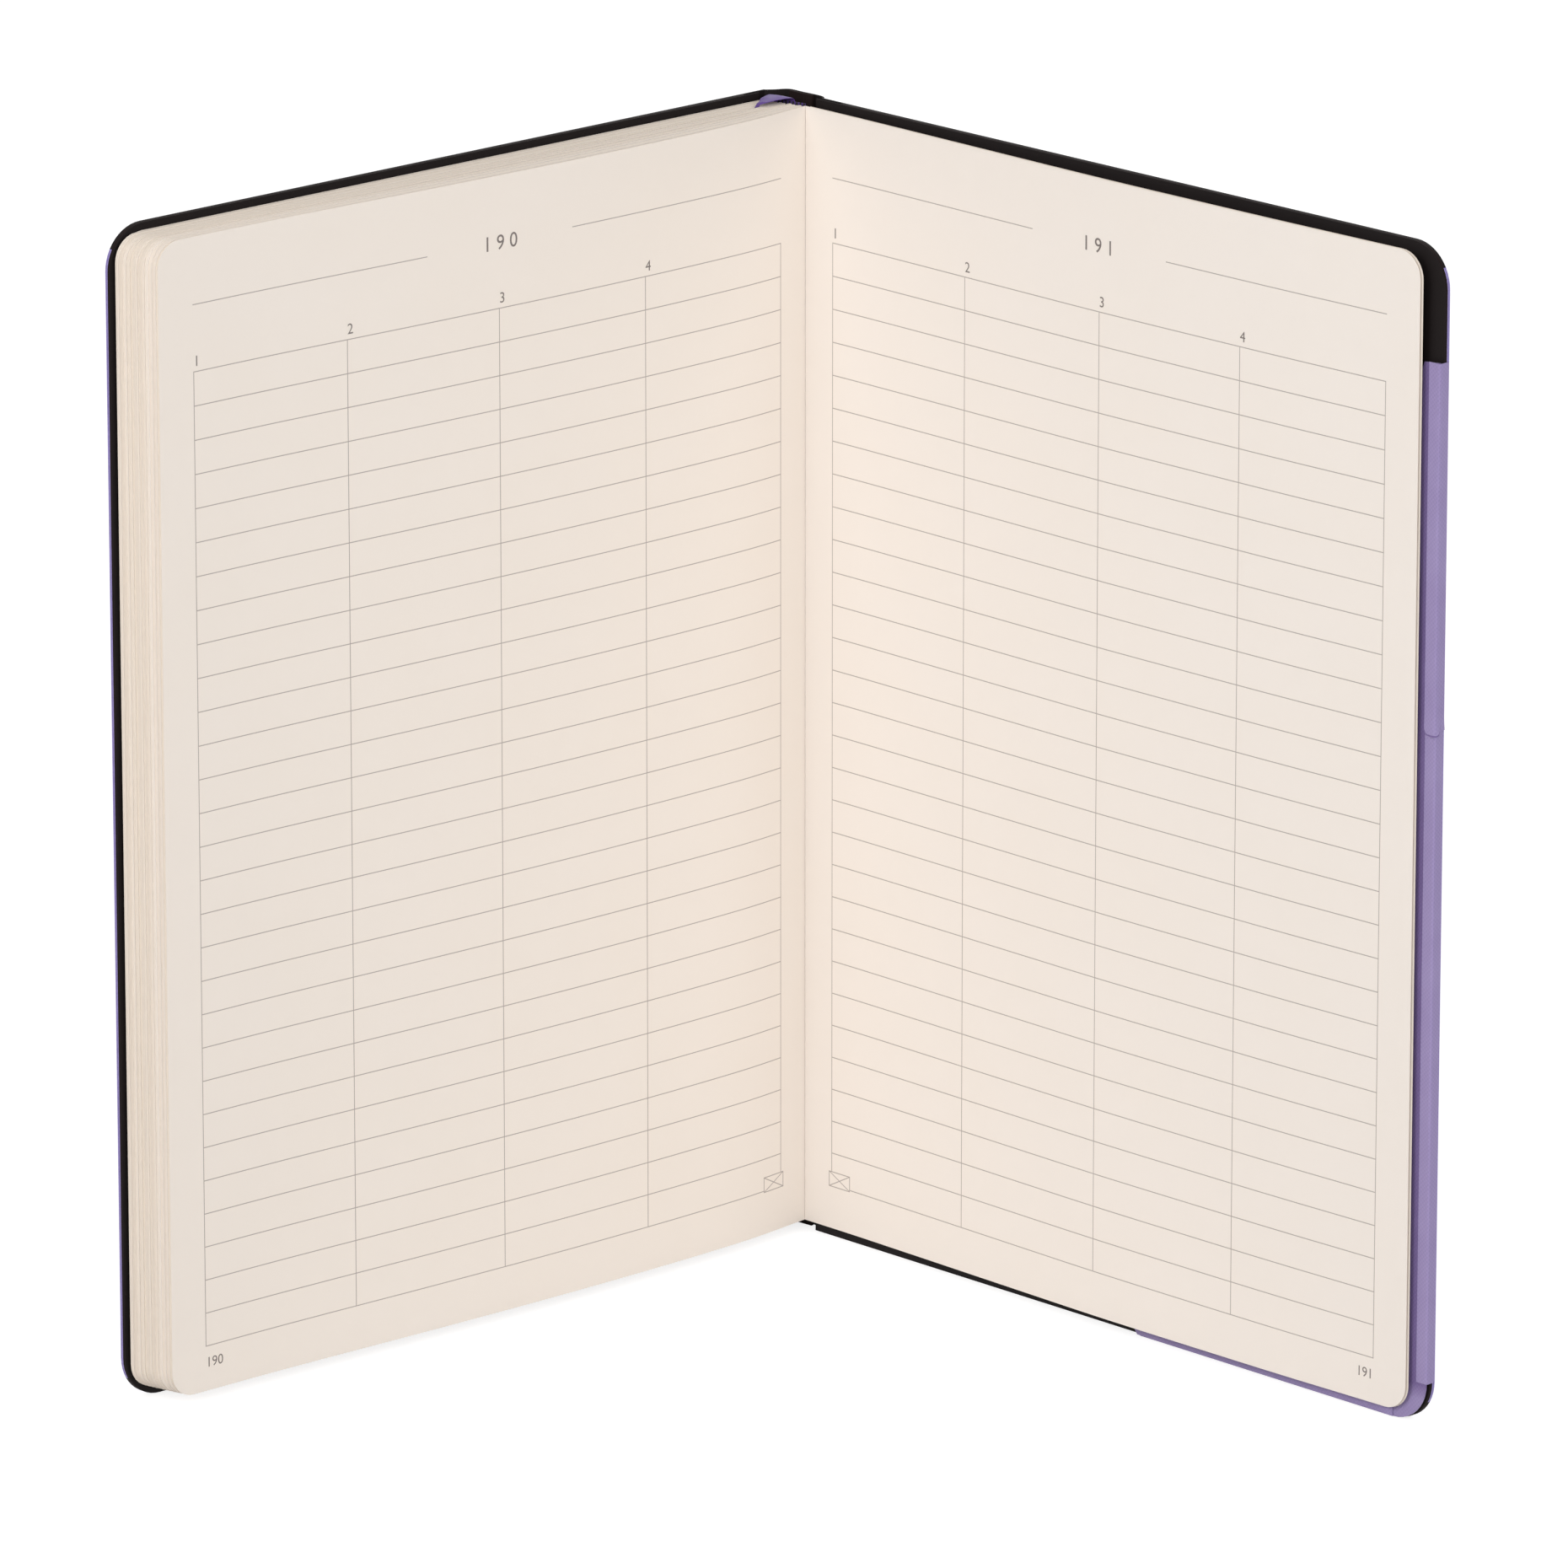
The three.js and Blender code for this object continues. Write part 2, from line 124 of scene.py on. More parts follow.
# Print: four ruled columns under a heading line
ROW_STEP = 7 * MM
FIRST_ROW = 9.5 * MM
ROWS = 29
COLUMN_START = 8 * MM
COLUMN_STEP = 39.2 * MM
COLUMNS = 4
TABLE_END = COLUMN_START + COLUMNS * COLUMN_STEP
TABLE_TOP = FIRST_ROW + ROWS * ROW_STEP
TITLE_ROW = 226.2 * MM
TITLE_GAP = (67 * MM, 105 * MM)
TITLE_FIGURES = 4.4 * MM
TITLE_AT = TITLE_ROW - 1.5 * MM
LABEL_FIGURES = 3.1 * MM
LABEL_RISE = 1.1 * MM
FOOT_FIGURES = 3 * MM
FOOT_FIGURES_AT = 5 * MM
RULE = 0.2 * MM
MARK_CENTRE = (10.3 * MM, 10.8 * MM)
MARK_SIZE = (6.1 * MM, 3.2 * MM)
INK_HEIGHT = 0.006 * MM
INK_CLEAR = 0.012 * MM

# Ribbon bookmark
RIBBON_SHOWN = 0.11 * MM
RIBBON_WIDTH = 5.5 * MM
RIBBON_CROWN = 0.18 * MM
RIBBON_SINK = 0.12 * MM
RIBBON_OUT = 1.45 * MM
RIBBON_RISE = 1.2 * MM
RIBBON_DIVE = 7 * MM
RIBBON_GLUED = 28 * MM
RIBBON_END = 24 * MM

# Pocket
POCKET = 0.3 * MM
POCKET_STAND = 1.05 * MM
POCKET_TOP = 220.6 * MM
POCKET_FOOT_WIDTH = 81 * MM
POCKET_INSET = 0.15 * MM
POCKET_MOUTH_DROP = 0.4 * MM
POCKET_MOUTH_RUN = 3 * MM
# The panel's deeper purple is the right page's shadow, painted; it fades to lilac in the foot corner,
# where the page ends
PAGE_SHADOW_FADE_TOP = 8.5 * MM
PAGE_SHADOW_FADE = 3 * MM
TAPE = 0.15 * MM
TAPE_WIDTH = 4.2 * MM
TAPE_GAP = 0.1 * MM
TAPE_SHOWN = 0.12 * MM
TAPE_FACE = 2.5 * MM
LAP_AT = 144.35 * MM
LAP_WIDTH = 3.9 * MM
LAP_CORNER = 1.1 * MM
LAP_SHARPNESS = 6.0
# Width of the painted shade band at the lap's end and of the painted highlight band below it
LAP_PAINTED_BAND = 0.32 * MM
TAPE_BEND = 0.3 * MM
TAPE_END_RISE = 8 * MM
TAPE_END_LIFT = 0.35 * MM
TAPE_LIFT_RUN = 6 * MM
FOOT_TAPE_HEIGHT = 2.6 * MM
FOOT_TAPE_CLEAR = 1.4 * MM
FOOT_TAPE_ROUND = 0.05 * MM

# Bands at the ends of the spine
BAND_OUT = 0.93 * MM
BAND_DEPTH = 0.27 * MM
BAND_HEIGHT = 1.4 * MM
BAND_ENDS = (0.8 * MM, 8 * MM)
BAND_PROUD = 0.2 * MM
BAND_ROUND = 0.12 * MM

# Sizes of the patterns in the finishes
PAPER_CLOUD = 22 * MM
PAPER_FIBRE = 0.5 * MM
CUT_STREAK = 0.3 * MM
INK_PATCH = 0.4 * MM
SKIN_PEBBLE = 0.8 * MM
SKIN_PORE = 0.25 * MM
SKIN_PATCH = 30 * MM
LINING_TOOTH = 0.35 * MM
LINING_PATCH = 18 * MM
BOARD_LAYERS = 0.3 * MM
CLOTH_THREAD = 0.45 * MM
CLOTH_PATCH = 9 * MM
RIBBON_RIB = 0.3 * MM
BAND_STRIPE = 0.9 * MM
MULL_THREAD = 0.8 * MM
THREAD_TWIST = 4 * MM

# Two points, or two ends, count as one within this
NEAR = 1e-6


class PlanFrame:
    """A direction on the table: x along it, y up, z level and to the right of x."""

    def __init__(self, degrees):
        turn = math.radians(degrees)
        self.along = np.array([math.cos(turn), math.sin(turn)])
        self.side = np.array([math.sin(turn), -math.cos(turn)])

    def plan(self, x, z):
        return np.outer(x, self.along) + np.outer(z, self.side) - FOOT_CENTRE

    def place(self, x, height, z):
        return np.column_stack([self.plan(x, z), height])


FRONT = PlanFrame(FRONT_ANGLE)
BACK = PlanFrame(BACK_ANGLE)
SPINE_FACE = PlanFrame(SPINE_FACE_ANGLE)
FOLD_ALONG = float(SPINE_FACE.along @ FRONT.along)
FOLD_ACROSS = float(SPINE_FACE.along @ FRONT.side)


class PlanLine:
    """A smooth curve through plan points, read by the length along it."""

    def __init__(self, points):
        points = np.array(points, float)
        last = len(points) - 1
        t = np.linspace(0, last, 80 * last + 1)
        span = np.minimum(t.astype(int), last - 1)
        w = (t - span)[:, None]
        before, here, there, after = (points[np.clip(span + k, 0, last)] for k in (-1, 0, 1, 2))
        leave, arrive = (there - before) / 2, (after - here) / 2
        self.points = (
            (2 * here - 2 * there + leave + arrive) * w**3
            + (-3 * here + 3 * there - 2 * leave - arrive) * w**2
            + leave * w
            + here
        )
        steps = np.linalg.norm(np.diff(self.points, axis=0), axis=1)
        self.lengths = np.concatenate([[0], np.cumsum(steps)])
        self.length = float(self.lengths[-1])
        run = np.gradient(self.points, self.lengths, axis=0)
        self.runs = run / np.linalg.norm(run, axis=1)[:, None]

    def read(self, table, s):
        return np.column_stack([np.interp(s, self.lengths, table[:, k]) for k in (0, 1)])

    def at(self, s, offset):
        """Points at distances s, moved square off the line by offset."""
        centre, run = self.read(self.points, s), self.read(self.runs, s)
        normal = np.column_stack([-run[:, 1], run[:, 0]])
        return centre + normal * np.reshape(offset, (-1, 1))


def block_line(depth, depth_outside=None):
    """The line a fold's leaves follow: stepped along the spine face, less arched towards the cover.
    A second depth is the one it has come to past the ribbon, where the leaves settle evenly."""
    swell = 1 - depth / BLOCK_DEPTH
    arch = np.array(PAGE_ARCH) * MM
    x = arch[:, 0] + depth * FOLD_ALONG * np.maximum(0, 1 - arch[:, 0] / FOLD_REACH)
    settled = settling(arch[:, 0]) * ((depth_outside or depth) - depth)
    return PlanLine(np.column_stack([x, (depth + settled) * FOLD_ACROSS + swell * arch[:, 1]]))


def settling(x):
    """0 beside the ribbon and 1 from well past it."""
    share = np.clip((x - SETTLE_FROM) / (SETTLE_TO - SETTLE_FROM), 0, 1)
    return share * share * (3 - 2 * share)


def fold_depth(number):
    held = RIBBON_SPACE if number <= RIBBON_AFTER_SIGNATURE else 0
    return FIRST_FOLD + (SIGNATURES - number + 0.5) * SIGNATURE_PITCH + held


def settled_depth(number):
    return FIRST_FOLD + (SIGNATURES - number + 0.5) * SETTLED_PITCH


def deselect_all():
    bpy.ops.object.select_all(action="DESELECT")


def activate(obj):
    """Leaves one object selected and active."""
    deselect_all()
    obj.select_set(True)
    bpy.context.view_layer.objects.active = obj


def corners_of(obj):
    """An object's vertices as an array."""
    found = np.empty(3 * len(obj.data.vertices))
    obj.data.vertices.foreach_get("co", found)
    return found.reshape(-1, 3)


def move_corners(obj, corners):
    obj.data.vertices.foreach_set("co", np.ascontiguousarray(corners, dtype=float).ravel())
    obj.data.update()


def apply_modifier(obj, kind, **settings):
    """Adds one modifier and applies it."""
    made = obj.modifiers.new(kind.title(), kind)
    for name, value in settings.items():
        setattr(made, name, value)
    activate(obj)
    bpy.ops.object.modifier_apply(modifier=made.name)


def edit(obj, mode, chosen, step):
    """Selects the vertices, edges or faces for which chosen is true, and runs an edit-mode step."""
    activate(obj)
    bpy.ops.object.mode_set(mode="EDIT")
    bpy.ops.mesh.select_mode(type=mode)
    bpy.ops.mesh.select_all(action="DESELECT")
    shell = bmesh.from_edit_mesh(obj.data)
    for item in {"VERT": shell.verts, "EDGE": shell.edges, "FACE": shell.faces}[mode]:
        if chosen(item):
            item.select = True
    shell.select_flush_mode()
    bmesh.update_edit_mesh(obj.data)
    step()
    bpy.ops.object.mode_set(mode="OBJECT")


def bevel(obj, chosen, radius, steps, affect="EDGES"):
    """Rounds the chosen edges, or the chosen corners of a flat piece."""
    mode = "EDGE" if affect == "EDGES" else "VERT"
    settings = {"offset": radius, "segments": steps, "affect": affect, "clamp_overlap": False}
    edit(obj, mode, chosen, lambda: bpy.ops.mesh.bevel(**settings))


def every(item):
    return True


def join(pieces, name):
    deselect_all()
    for piece in pieces:
        piece.select_set(True)
    bpy.context.view_layer.objects.active = pieces[0]
    if len(pieces) > 1:
        bpy.ops.object.join()
    pieces[0].name = pieces[0].data.name = name
    return pieces[0]


def map_flat(obj):
    """Keeps where each point lay on the flat piece, in metres, as the UV map that patterns read."""
    layer = obj.data.uv_layers.get("flat") or obj.data.uv_layers.new(name="flat")
    obj.data.uv_layers.active = layer
    flat = corners_of(obj)[:, :2]
    corner = np.empty(len(obj.data.loops), int)
    obj.data.loops.foreach_get("vertex_index", corner)
    layer.data.foreach_set("uv", flat[corner].ravel())
    for spare in [found.name for found in obj.data.uv_layers if found.name != "flat"]:
        obj.data.uv_layers.remove(obj.data.uv_layers[spare])


def turn_out(obj):
    """Turns all faces of a closed piece outwards."""
    edit(obj, "FACE", every, bpy.ops.mesh.normals_make_consistent)


def tint(obj, value):
    """One value for the whole mesh that its material reads, so that like leaves differ a little."""
    layer = obj.data.attributes.new("leaf_tint", "FLOAT", "POINT")
    layer.data.foreach_set("value", np.full(len(obj.data.vertices), value, np.float32))


def finish_piece(obj, body, slot, *nodes, finish=None, angle=35):
    """Gives a piece its finish and shading, ties it to its body, and hides the nodes it stands for."""
    if finish:
        obj.data.materials.append(finish_for(finish))
    activate(obj)
    bpy.ops.object.shade_smooth_by_angle(angle=math.radians(angle))
    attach(obj, body)
    if nodes:
        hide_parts(*nodes)


def new_active(name):
    """The object that an operator has just added, under its own name."""
    made = bpy.context.active_object
    made.name = made.data.name = name
    return made


def flat_grid(name, stations, levels):
    """A flat grid with its columns at the stations and its rows at the levels."""
    deselect_all()
    columns, rows = len(stations) - 1, len(levels) - 1
    bpy.ops.mesh.primitive_grid_add(x_subdivisions=columns, y_subdivisions=rows, size=2)
    made = new_active(name)
    flat = corners_of(made)
    for k, values in enumerate((stations, levels)):
        share = (flat[:, k] + 1) / 2 * (len(values) - 1)
        flat[:, k] = np.interp(share, np.arange(len(values)), values)
    move_corners(made, flat)
    return made


def round_corners(obj, radius, ends, steps=7):
    """Rounds the flat piece's corners that lie at the given ends of X."""
    heights = corners_of(obj)[:, 1]
    levels = heights.min(), heights.max()

    def at_corner(vert):
        at_end = any(abs(vert.co.x - end) < NEAR for end in ends)
        return at_end and any(abs(vert.co.y - level) < NEAR for level in levels)

    bevel(obj, at_corner, radius, steps, "VERTICES")


STATIONS = np.array(
    [1.5, 3, 5, 8, 11, 14, 18, 22, 27, 33, 40, 48, 57, 67, 78, 89, 100, 111, 122, 133, 144, 154]
) * MM


def leaf_stations(start, end):
    """Close together by the fold, where leaves bend most, and a last wide step for the corner."""
    inner = STATIONS[(STATIONS > start + 0.4 * MM) & (STATIONS < end - PAGE_CORNER - 3 * MM)]
    return np.concatenate([[start], inner, [end - PAGE_CORNER - 1.5 * MM, end]])


def thicken_leaf(obj, thickness, ground):
    """Gives a flat leaf its thickness. Its faces take the first finish and its cut edges the second."""
    obj.data.materials.append(finish_for(ground))
    obj.data.materials.append(finish_for("cut"))
    apply_modifier(obj, "SOLIDIFY", thickness=thickness, offset=0, material_offset_rim=1)
    map_flat(obj)


def hang(obj, frame_, line, foot=0.0):
    """Bends a flat piece onto its plan line, from a height above the standing plane."""
    flat = corners_of(obj)
    plan = line.at(flat[:, 0], flat[:, 2])
    move_corners(obj, frame_.place(plan[:, 0], flat[:, 1] + foot, plan[:, 1]))


def single_leaf(name, start, end, ground, thickness, tone):
    leaf = flat_grid(name, leaf_stations(start, end), np.linspace(0, PAGE_HEIGHT, 7))
    round_corners(leaf, PAGE_CORNER, [end], steps=9)
    thicken_leaf(leaf, thickness, ground)
    tint(leaf, tone)
    return leaf


def linear(hex_colour):
    """A colour as written in sRGB, such as 8f84c4, turned to the linear values that nodes take."""
    parts = [int(hex_colour[k : k + 2], 16) / 255 for k in (0, 2, 4)]
    return tuple(c / 12.92 if c <= 0.04045 else ((c + 0.055) / 1.055) ** 2.4 for c in parts)


def colour_property(name, description, hex_colour):
    return bpy.props.FloatVectorProperty(
        name=name,
        description=description,
        default=linear(hex_colour),
        subtype="COLOR",
        size=3,
        min=0,
        max=1,
    )


def length_property(name, description, default):
    return bpy.props.FloatProperty(
        name=name, description=description, default=default, unit="LENGTH", precision=5
    )


def amount_property(name, description, default):
    return bpy.props.FloatProperty(name=name, description=description, default=default, min=0)


class PaperSettings(bpy.types.PropertyGroup):
    leaf_thickness: length_property("Leaf thickness", "Shown thickness of one leaf", LEAF_SHOWN)
    trim: length_property("Trim unevenness", "Most that a fore edge falls short", 0.12 * MM)
    head_trim: length_property("Head unevenness", "Most that a head falls short", 0.3 * MM)
    flyleaf_over: length_property("Flyleaf overhang", "How far they pass the trimmed leaves", 0.3 * MM)
    seed: bpy.props.IntProperty(name="Seed", description="Start of the leaf variation", default=7)
    paper: colour_property("Paper", "Ivory writing paper", "f3ebe4")
    paper_warm: colour_property("Warm paper", "The paper's yellower patches", "f0e6da")
    # Painted light: the cut edge colours are set lighter than the paper's own creamy edge tone, to
    # stand in for the light the fore edge and head catch
    cut: colour_property("Cut edge", "Creamy edge of the trimmed leaves", "fbefe2")
    cut_shade: colour_property("Cut edge shade", "Darker streaks in the trimmed edge", "e9dac8")


class PrintSettings(bpy.types.PropertyGroup):
    rule: length_property("Rule width", "Width of a printed line", RULE)
    ink: colour_property("Line ink", "Pale grey of the ruled lines", "b3a8a2")
    number_ink: colour_property("Number ink", "Grey of the printed numbers", "847a76")


class CoverSettings(bpy.types.PropertyGroup):
    edge: length_property("Edge softness", "Radius of the worn cover edges", 0.09 * MM)
    skin: colour_property("Skin", "Lilac imitation leather", "9d90cc")
    skin_deep: colour_property("Skin grain", "Deeper lilac in the grain", "8577b8")
    lining: colour_property("Lining", "Black endpaper", "151010")
    board: colour_property("Board", "Cut edge of the black card", "1b1312")
    pocket: colour_property("Pocket", "Lilac cloth-faced paper", "a294c0")
    pocket_deep: colour_property("Pocket weave", "Shade between the pocket's threads", "8876a8")
    # Painted shade: this deeper purple and its weave colour are the right page's shadow painted on the
    # pocket panel, and the shade painted at the tape lap's end
    panel: colour_property("Pocket panel", "Purple cloth-faced paper", "7e6a9e")
    panel_deep: colour_property("Panel weave", "Shade between the panel's threads", "5f4b80")
    ribbon: colour_property("Ribbon", "Purple satin", "664a94")
    ribbon_deep: colour_property("Ribbon shade", "Purple between the ribbon's threads", "47306f")


class StageSettings(bpy.types.PropertyGroup):
    ambient: amount_property("Ambient", "Level of the even light all round", 0.4)
    key_power: amount_property("Key light", "Soft lamp at the front left, in watts", 19)
    front_power: amount_property("Front light", "Soft lamp over the camera, in watts", 16.5)
    fill_power: amount_property("Fill light", "Soft lamp at the front right, in watts", 13.5)
    back_power: amount_property("Back light", "Soft lamp high behind, in watts", 11)
    floor_size: length_property("Floor size", "Side of the pale floor", 9)


class Wire:
    """A node's output. Arithmetic written on it adds one math node for each step."""

    def __init__(self, tree, socket):
        self.tree, self.socket = tree, socket

    def __add__(self, other):
        return maths("ADD", self, other)

    def __sub__(self, other):
        return maths("SUBTRACT", self, other)

    def __rsub__(self, other):
        return maths("SUBTRACT", other, self)

    def __mul__(self, other):
        return maths("MULTIPLY", self, other)

    def __truediv__(self, other):
        return maths("DIVIDE", self, other)

    def __lt__(self, other):
        return maths("LESS_THAN", self, other)

    def __gt__(self, other):
        return maths("GREATER_THAN", self, other)

    def __or__(self, other):
        return maths("MAXIMUM", self, other)

    def __abs__(self):
        return maths("ABSOLUTE", self)


def add_node(tree, kind, inputs=(), output=None, **settings):
    """One node with its settings. An input is a value or a wire. With an output named, its wire."""
    made = tree.nodes.new(kind)
    for name, value in settings.items():
        setattr(made, name, value)
    for socket, value in dict(inputs).items():
        if isinstance(value, Wire):
            tree.links.new(value.socket, made.inputs[socket])
        else:
            made.inputs[socket].default_value = value
    return made if output is None else Wire(tree, made.outputs[output])


def maths(operation, *values):
    """One math node over wires and plain numbers."""
    tree = next(value.tree for value in values if isinstance(value, Wire))
    return add_node(tree, "ShaderNodeMath", enumerate(values), 0, operation=operation)


def new_finish(name, **sockets):
    """A material with one shader, whose plain values stand on its own sockets."""
    material = bpy.data.materials.new(name)
    material.use_nodes = True
    shader = material.node_tree.nodes["Principled BSDF"]
    for socket, value in sockets.items():
        shader.inputs[socket.replace("_", " ")].default_value = value
    return material


def dress(material, colour, height=None, depth=0.0, strength=1.0):
    """Gives a material its colour, and its surface a height of so many metres."""
    tree = material.node_tree
    shader = tree.nodes["Principled BSDF"]
    tree.links.new(colour.socket, shader.inputs["Base Color"])
    if height is not None:
        inputs = {"Height": height, "Distance": depth, "Strength": strength}
        bump = add_node(tree, "ShaderNodeBump", inputs, "Normal")
        tree.links.new(bump.socket, shader.inputs["Normal"])
    return material


def object_place(material):
    return add_node(material.node_tree, "ShaderNodeTexCoord", (), "Object")


def flat_place(material):
    return add_node(material.node_tree, "ShaderNodeUVMap", (), "UV", uv_map="flat")


def leaf_tint(material):
    return add_node(
        material.node_tree, "ShaderNodeAttribute", (), "Fac", attribute_name="leaf_tint"
    )


def parts_of(place):
    """The X, Y and Z of a place."""
    made = add_node(place.tree, "ShaderNodeSeparateXYZ", {"Vector": place})
    return [Wire(place.tree, socket) for socket in made.outputs]


def noise(place, size, detail=3.0):
    """Noise whose patches are about size metres across."""
    inputs = {"Vector": place, "Scale": 1 / size, "Detail": detail, "Roughness": 0.55}
    return add_node(place.tree, "ShaderNodeTexNoise", inputs, "Fac")


def mapped(place, **inputs):
    return add_node(place.tree, "ShaderNodeMapping", {"Vector": place, **inputs}, "Vector")


def blend(amount, first, second):
    """The first colour where the amount is 0, and the second where it is 1."""
    pair = [value if isinstance(value, Wire) else (*value, 1.0) for value in (first, second)]
    inputs = {0: amount, 6: pair[0], 7: pair[1]}
    return add_node(amount.tree, "ShaderNodeMix", inputs, 2, data_type="RGBA")


def brighter(colour, times):
    return [min(1.0, times * part) for part in colour]


def line_mask(distance, width):
    """1 on a printed line, from the distance to its middle."""
    return abs(distance) < width / 2


def within(value, low, high):
    return (value > low) * (value < high)


def mark_mask(s, h, width):
    """A small outlined box with crossed diagonals, and the whole of its area."""
    half_w, half_h = (size / 2 for size in MARK_SIZE)
    x, y = abs(s - MARK_CENTRE[0]), abs(h - MARK_CENTRE[1])
    inside = (x < half_w + width / 2) * (y < half_h + width / 2)
    crossed = line_mask(y - x * (half_h / half_w), 1.1 * width)
    drawn = line_mask(x - half_w, width) | line_mask(y - half_h, width) | crossed
    return drawn * inside, inside


def ruled_mask(material, width):
    """The printed table, drawn from the place on the flat leaf: rows, columns and title rules."""
    x, h, _ = parts_of(flat_place(material))
    # The deeper leaf of a folded sheet lies on the flat sheet's negative side
    s = abs(x)
    half = width / 2
    row = maths("WRAP", h - FIRST_ROW, ROW_STEP / 2, -ROW_STEP / 2)
    column = maths("WRAP", s - COLUMN_START, COLUMN_STEP / 2, -COLUMN_STEP / 2)
    across = within(s, COLUMN_START - half, TABLE_END + half)
    upright = within(h, FIRST_ROW - half, TABLE_TOP + half)
    mark, mark_area = mark_mask(s, h, width)
    rules = line_mask(row, width) | line_mask(column, width)
    table = rules * (across * upright) * (1.0 - mark_area)
    beside = 1.0 - within(s, *TITLE_GAP)
    title = line_mask(h - TITLE_ROW, width) * (across * beside)
    return table | mark | title


UNCOATED = {"Roughness": 0.88, "Specular_IOR_Level": 0.25}


def paper_ground(material, paper):
    """Uncoated wood-free paper: matt, with a faint cloudy formation and felt-side fibres.
    Gives its colour and the height of its fibres."""
    place = object_place(material)
    cloud, fibre = noise(place, PAPER_CLOUD, 4), noise(place, PAPER_FIBRE, 5)
    share = leaf_tint(material) * 0.7 + (fibre * 0.16 + (cloud * 0.35 - 0.1))
    return blend(share, paper.paper, paper.paper_warm), fibre


def make_ruled_paper(settings):
    """Ivory offset paper, machine finished and printed: matt, cloudy, with hairline pale rules."""
    ink = settings.notebook_print
    made = new_finish("Ivory_offset_paper_ruled", **UNCOATED)
    ground, fibre = paper_ground(made, settings.notebook_paper)
    return dress(made, blend(ruled_mask(made, ink.rule), ground, ink.ink), fibre, 0.02 * MM, 0.5)


def make_plain_paper(settings):
    """The same ivory stock left blank for the flyleaves."""
    made = new_finish("Ivory_offset_paper_plain", **UNCOATED)
    ground, fibre = paper_ground(made, settings.notebook_paper)
    return dress(made, ground, fibre, 0.02 * MM, 0.5)


def make_cut_paper(settings):
    """Guillotined edges of the block: creamier than the pages, with fine streaks along the leaves. Both
    colours are also painted light, set lighter so the fore edge and head read as lit.
    """
    paper = settings.notebook_paper
    made = new_finish("Ivory_offset_paper_guillotined", Roughness=0.9, Specular_IOR_Level=0.2)
    streak = noise(mapped(object_place(made), Scale=(1, 1, 0.004)), CUT_STREAK)
    share = leaf_tint(made) * 0.45 + (streak * 0.7 - 0.25)
    return dress(made, blend(share, paper.cut, paper.cut_shade), streak, 0.03 * MM, 0.4)


def make_ink(settings):
    """Grey offset ink: dry and flat, a little uneven where the paper takes it."""
    ink = settings.notebook_print.number_ink
    made = new_finish("Grey_offset_ink", Roughness=0.8)
    patch = noise(object_place(made), INK_PATCH)
    return dress(made, blend(patch, ink, brighter(ink, 0.82)))


def make_skin(settings):
    """Soft-touch polyurethane imitation leather, embossed: satin, with a fine pebbled grain."""
    covers = settings.notebook_covers
    made = new_finish(
        "Soft_touch_imitation_leather_lilac", Roughness=0.55, Sheen_Weight=0.15, Sheen_Roughness=0.5
    )
    place = object_place(made)
    # The pebbles are drawn a little coarse so that they still show at arm's length
    inputs = {"Vector": place, "Scale": 1 / SKIN_PEBBLE}
    pebble = add_node(place.tree, "ShaderNodeTexVoronoi", inputs, "Distance", feature="F1")
    share = noise(place, SKIN_PATCH) * 0.3 + pebble * 0.5
    grain = noise(place, SKIN_PORE) * 0.4 + pebble
    return dress(made, blend(share, covers.skin, covers.skin_deep), grain, 0.05 * MM, 0.35)


def make_lining(settings):
    """Black dyed endpaper, calendered: nearly flat black, with a dull sheen and pale dust."""
    black = settings.notebook_covers.lining
    made = new_finish("Black_endpaper", Roughness=0.62, Specular_IOR_Level=0.12)
    place = object_place(made)
    tooth = noise(place, LINING_TOOTH, 5)
    share = tooth * (noise(place, LINING_PATCH) * 0.5)
    return dress(made, blend(share, black, brighter(black, 2.6)), tooth, 0.02 * MM, 0.4)


def make_board(settings):
    """Flexible black millboard, die cut: a fuzzy, brownish black edge of pressed fibres."""
    black = settings.notebook_covers.board
    made = new_finish("Black_millboard_cut", Roughness=0.9, Specular_IOR_Level=0.12)
    layers = noise(mapped(object_place(made), Scale=(1, 1, 0.1)), BOARD_LAYERS, 4)
    return dress(made, blend(layers, black, brighter(black, 2.2)), layers, 0.04 * MM, 0.5)


def woven(place, spacing):
    """Plain weave: threads of the given spacing that pass over and under each other."""
    x, y, _ = parts_of(place)
    warp, weft = (maths("SINE", part * (math.pi / spacing)) for part in (x, y))
    return warp * weft * 0.5 + 0.5


def filled_cloth(name, colours):
    """Book cloth on paper, starch filled: dull, with a close plain weave.
    The two colours, face and between the threads, come from a function of the place on the piece."""
    made = new_finish(name, Roughness=0.75, Sheen_Weight=0.2)
    flat = flat_place(made)
    x, y, _ = parts_of(flat)
    weave = woven(flat, CLOTH_THREAD)
    share = noise(object_place(made), CLOTH_PATCH) * 0.5 + weave * 0.35
    return dress(made, blend(share, *colours(x, y)), weave, 0.05 * MM, 0.6)


def make_pocket(settings):
    """Lilac binding tape of filled book cloth: dull, with painted shade at the lap's end and a painted
    highlight just below.
    """
    covers = settings.notebook_covers

    def colours(x, y):
        off = abs(x - LAP_WIDTH / 2) / (LAP_WIDTH / 2)
        above = y - (maths("POWER", off, LAP_SHARPNESS) * LAP_CORNER + LAP_AT)
        # Painted shade: a deeper purple band along the upper tape's end. Painted highlight: a paler
        # band on the lower tape just below.
        painted_lap_shade, light = within(above, 0.0, LAP_PAINTED_BAND), within(above, -LAP_PAINTED_BAND, 0.0)
        face = blend(painted_lap_shade, covers.pocket, covers.panel)
        face = blend(light, face, brighter(covers.pocket, 1.3))
        return face, blend(painted_lap_shade, covers.pocket_deep, covers.panel_deep)

    return filled_cloth("Filled_book_cloth_lilac", colours)


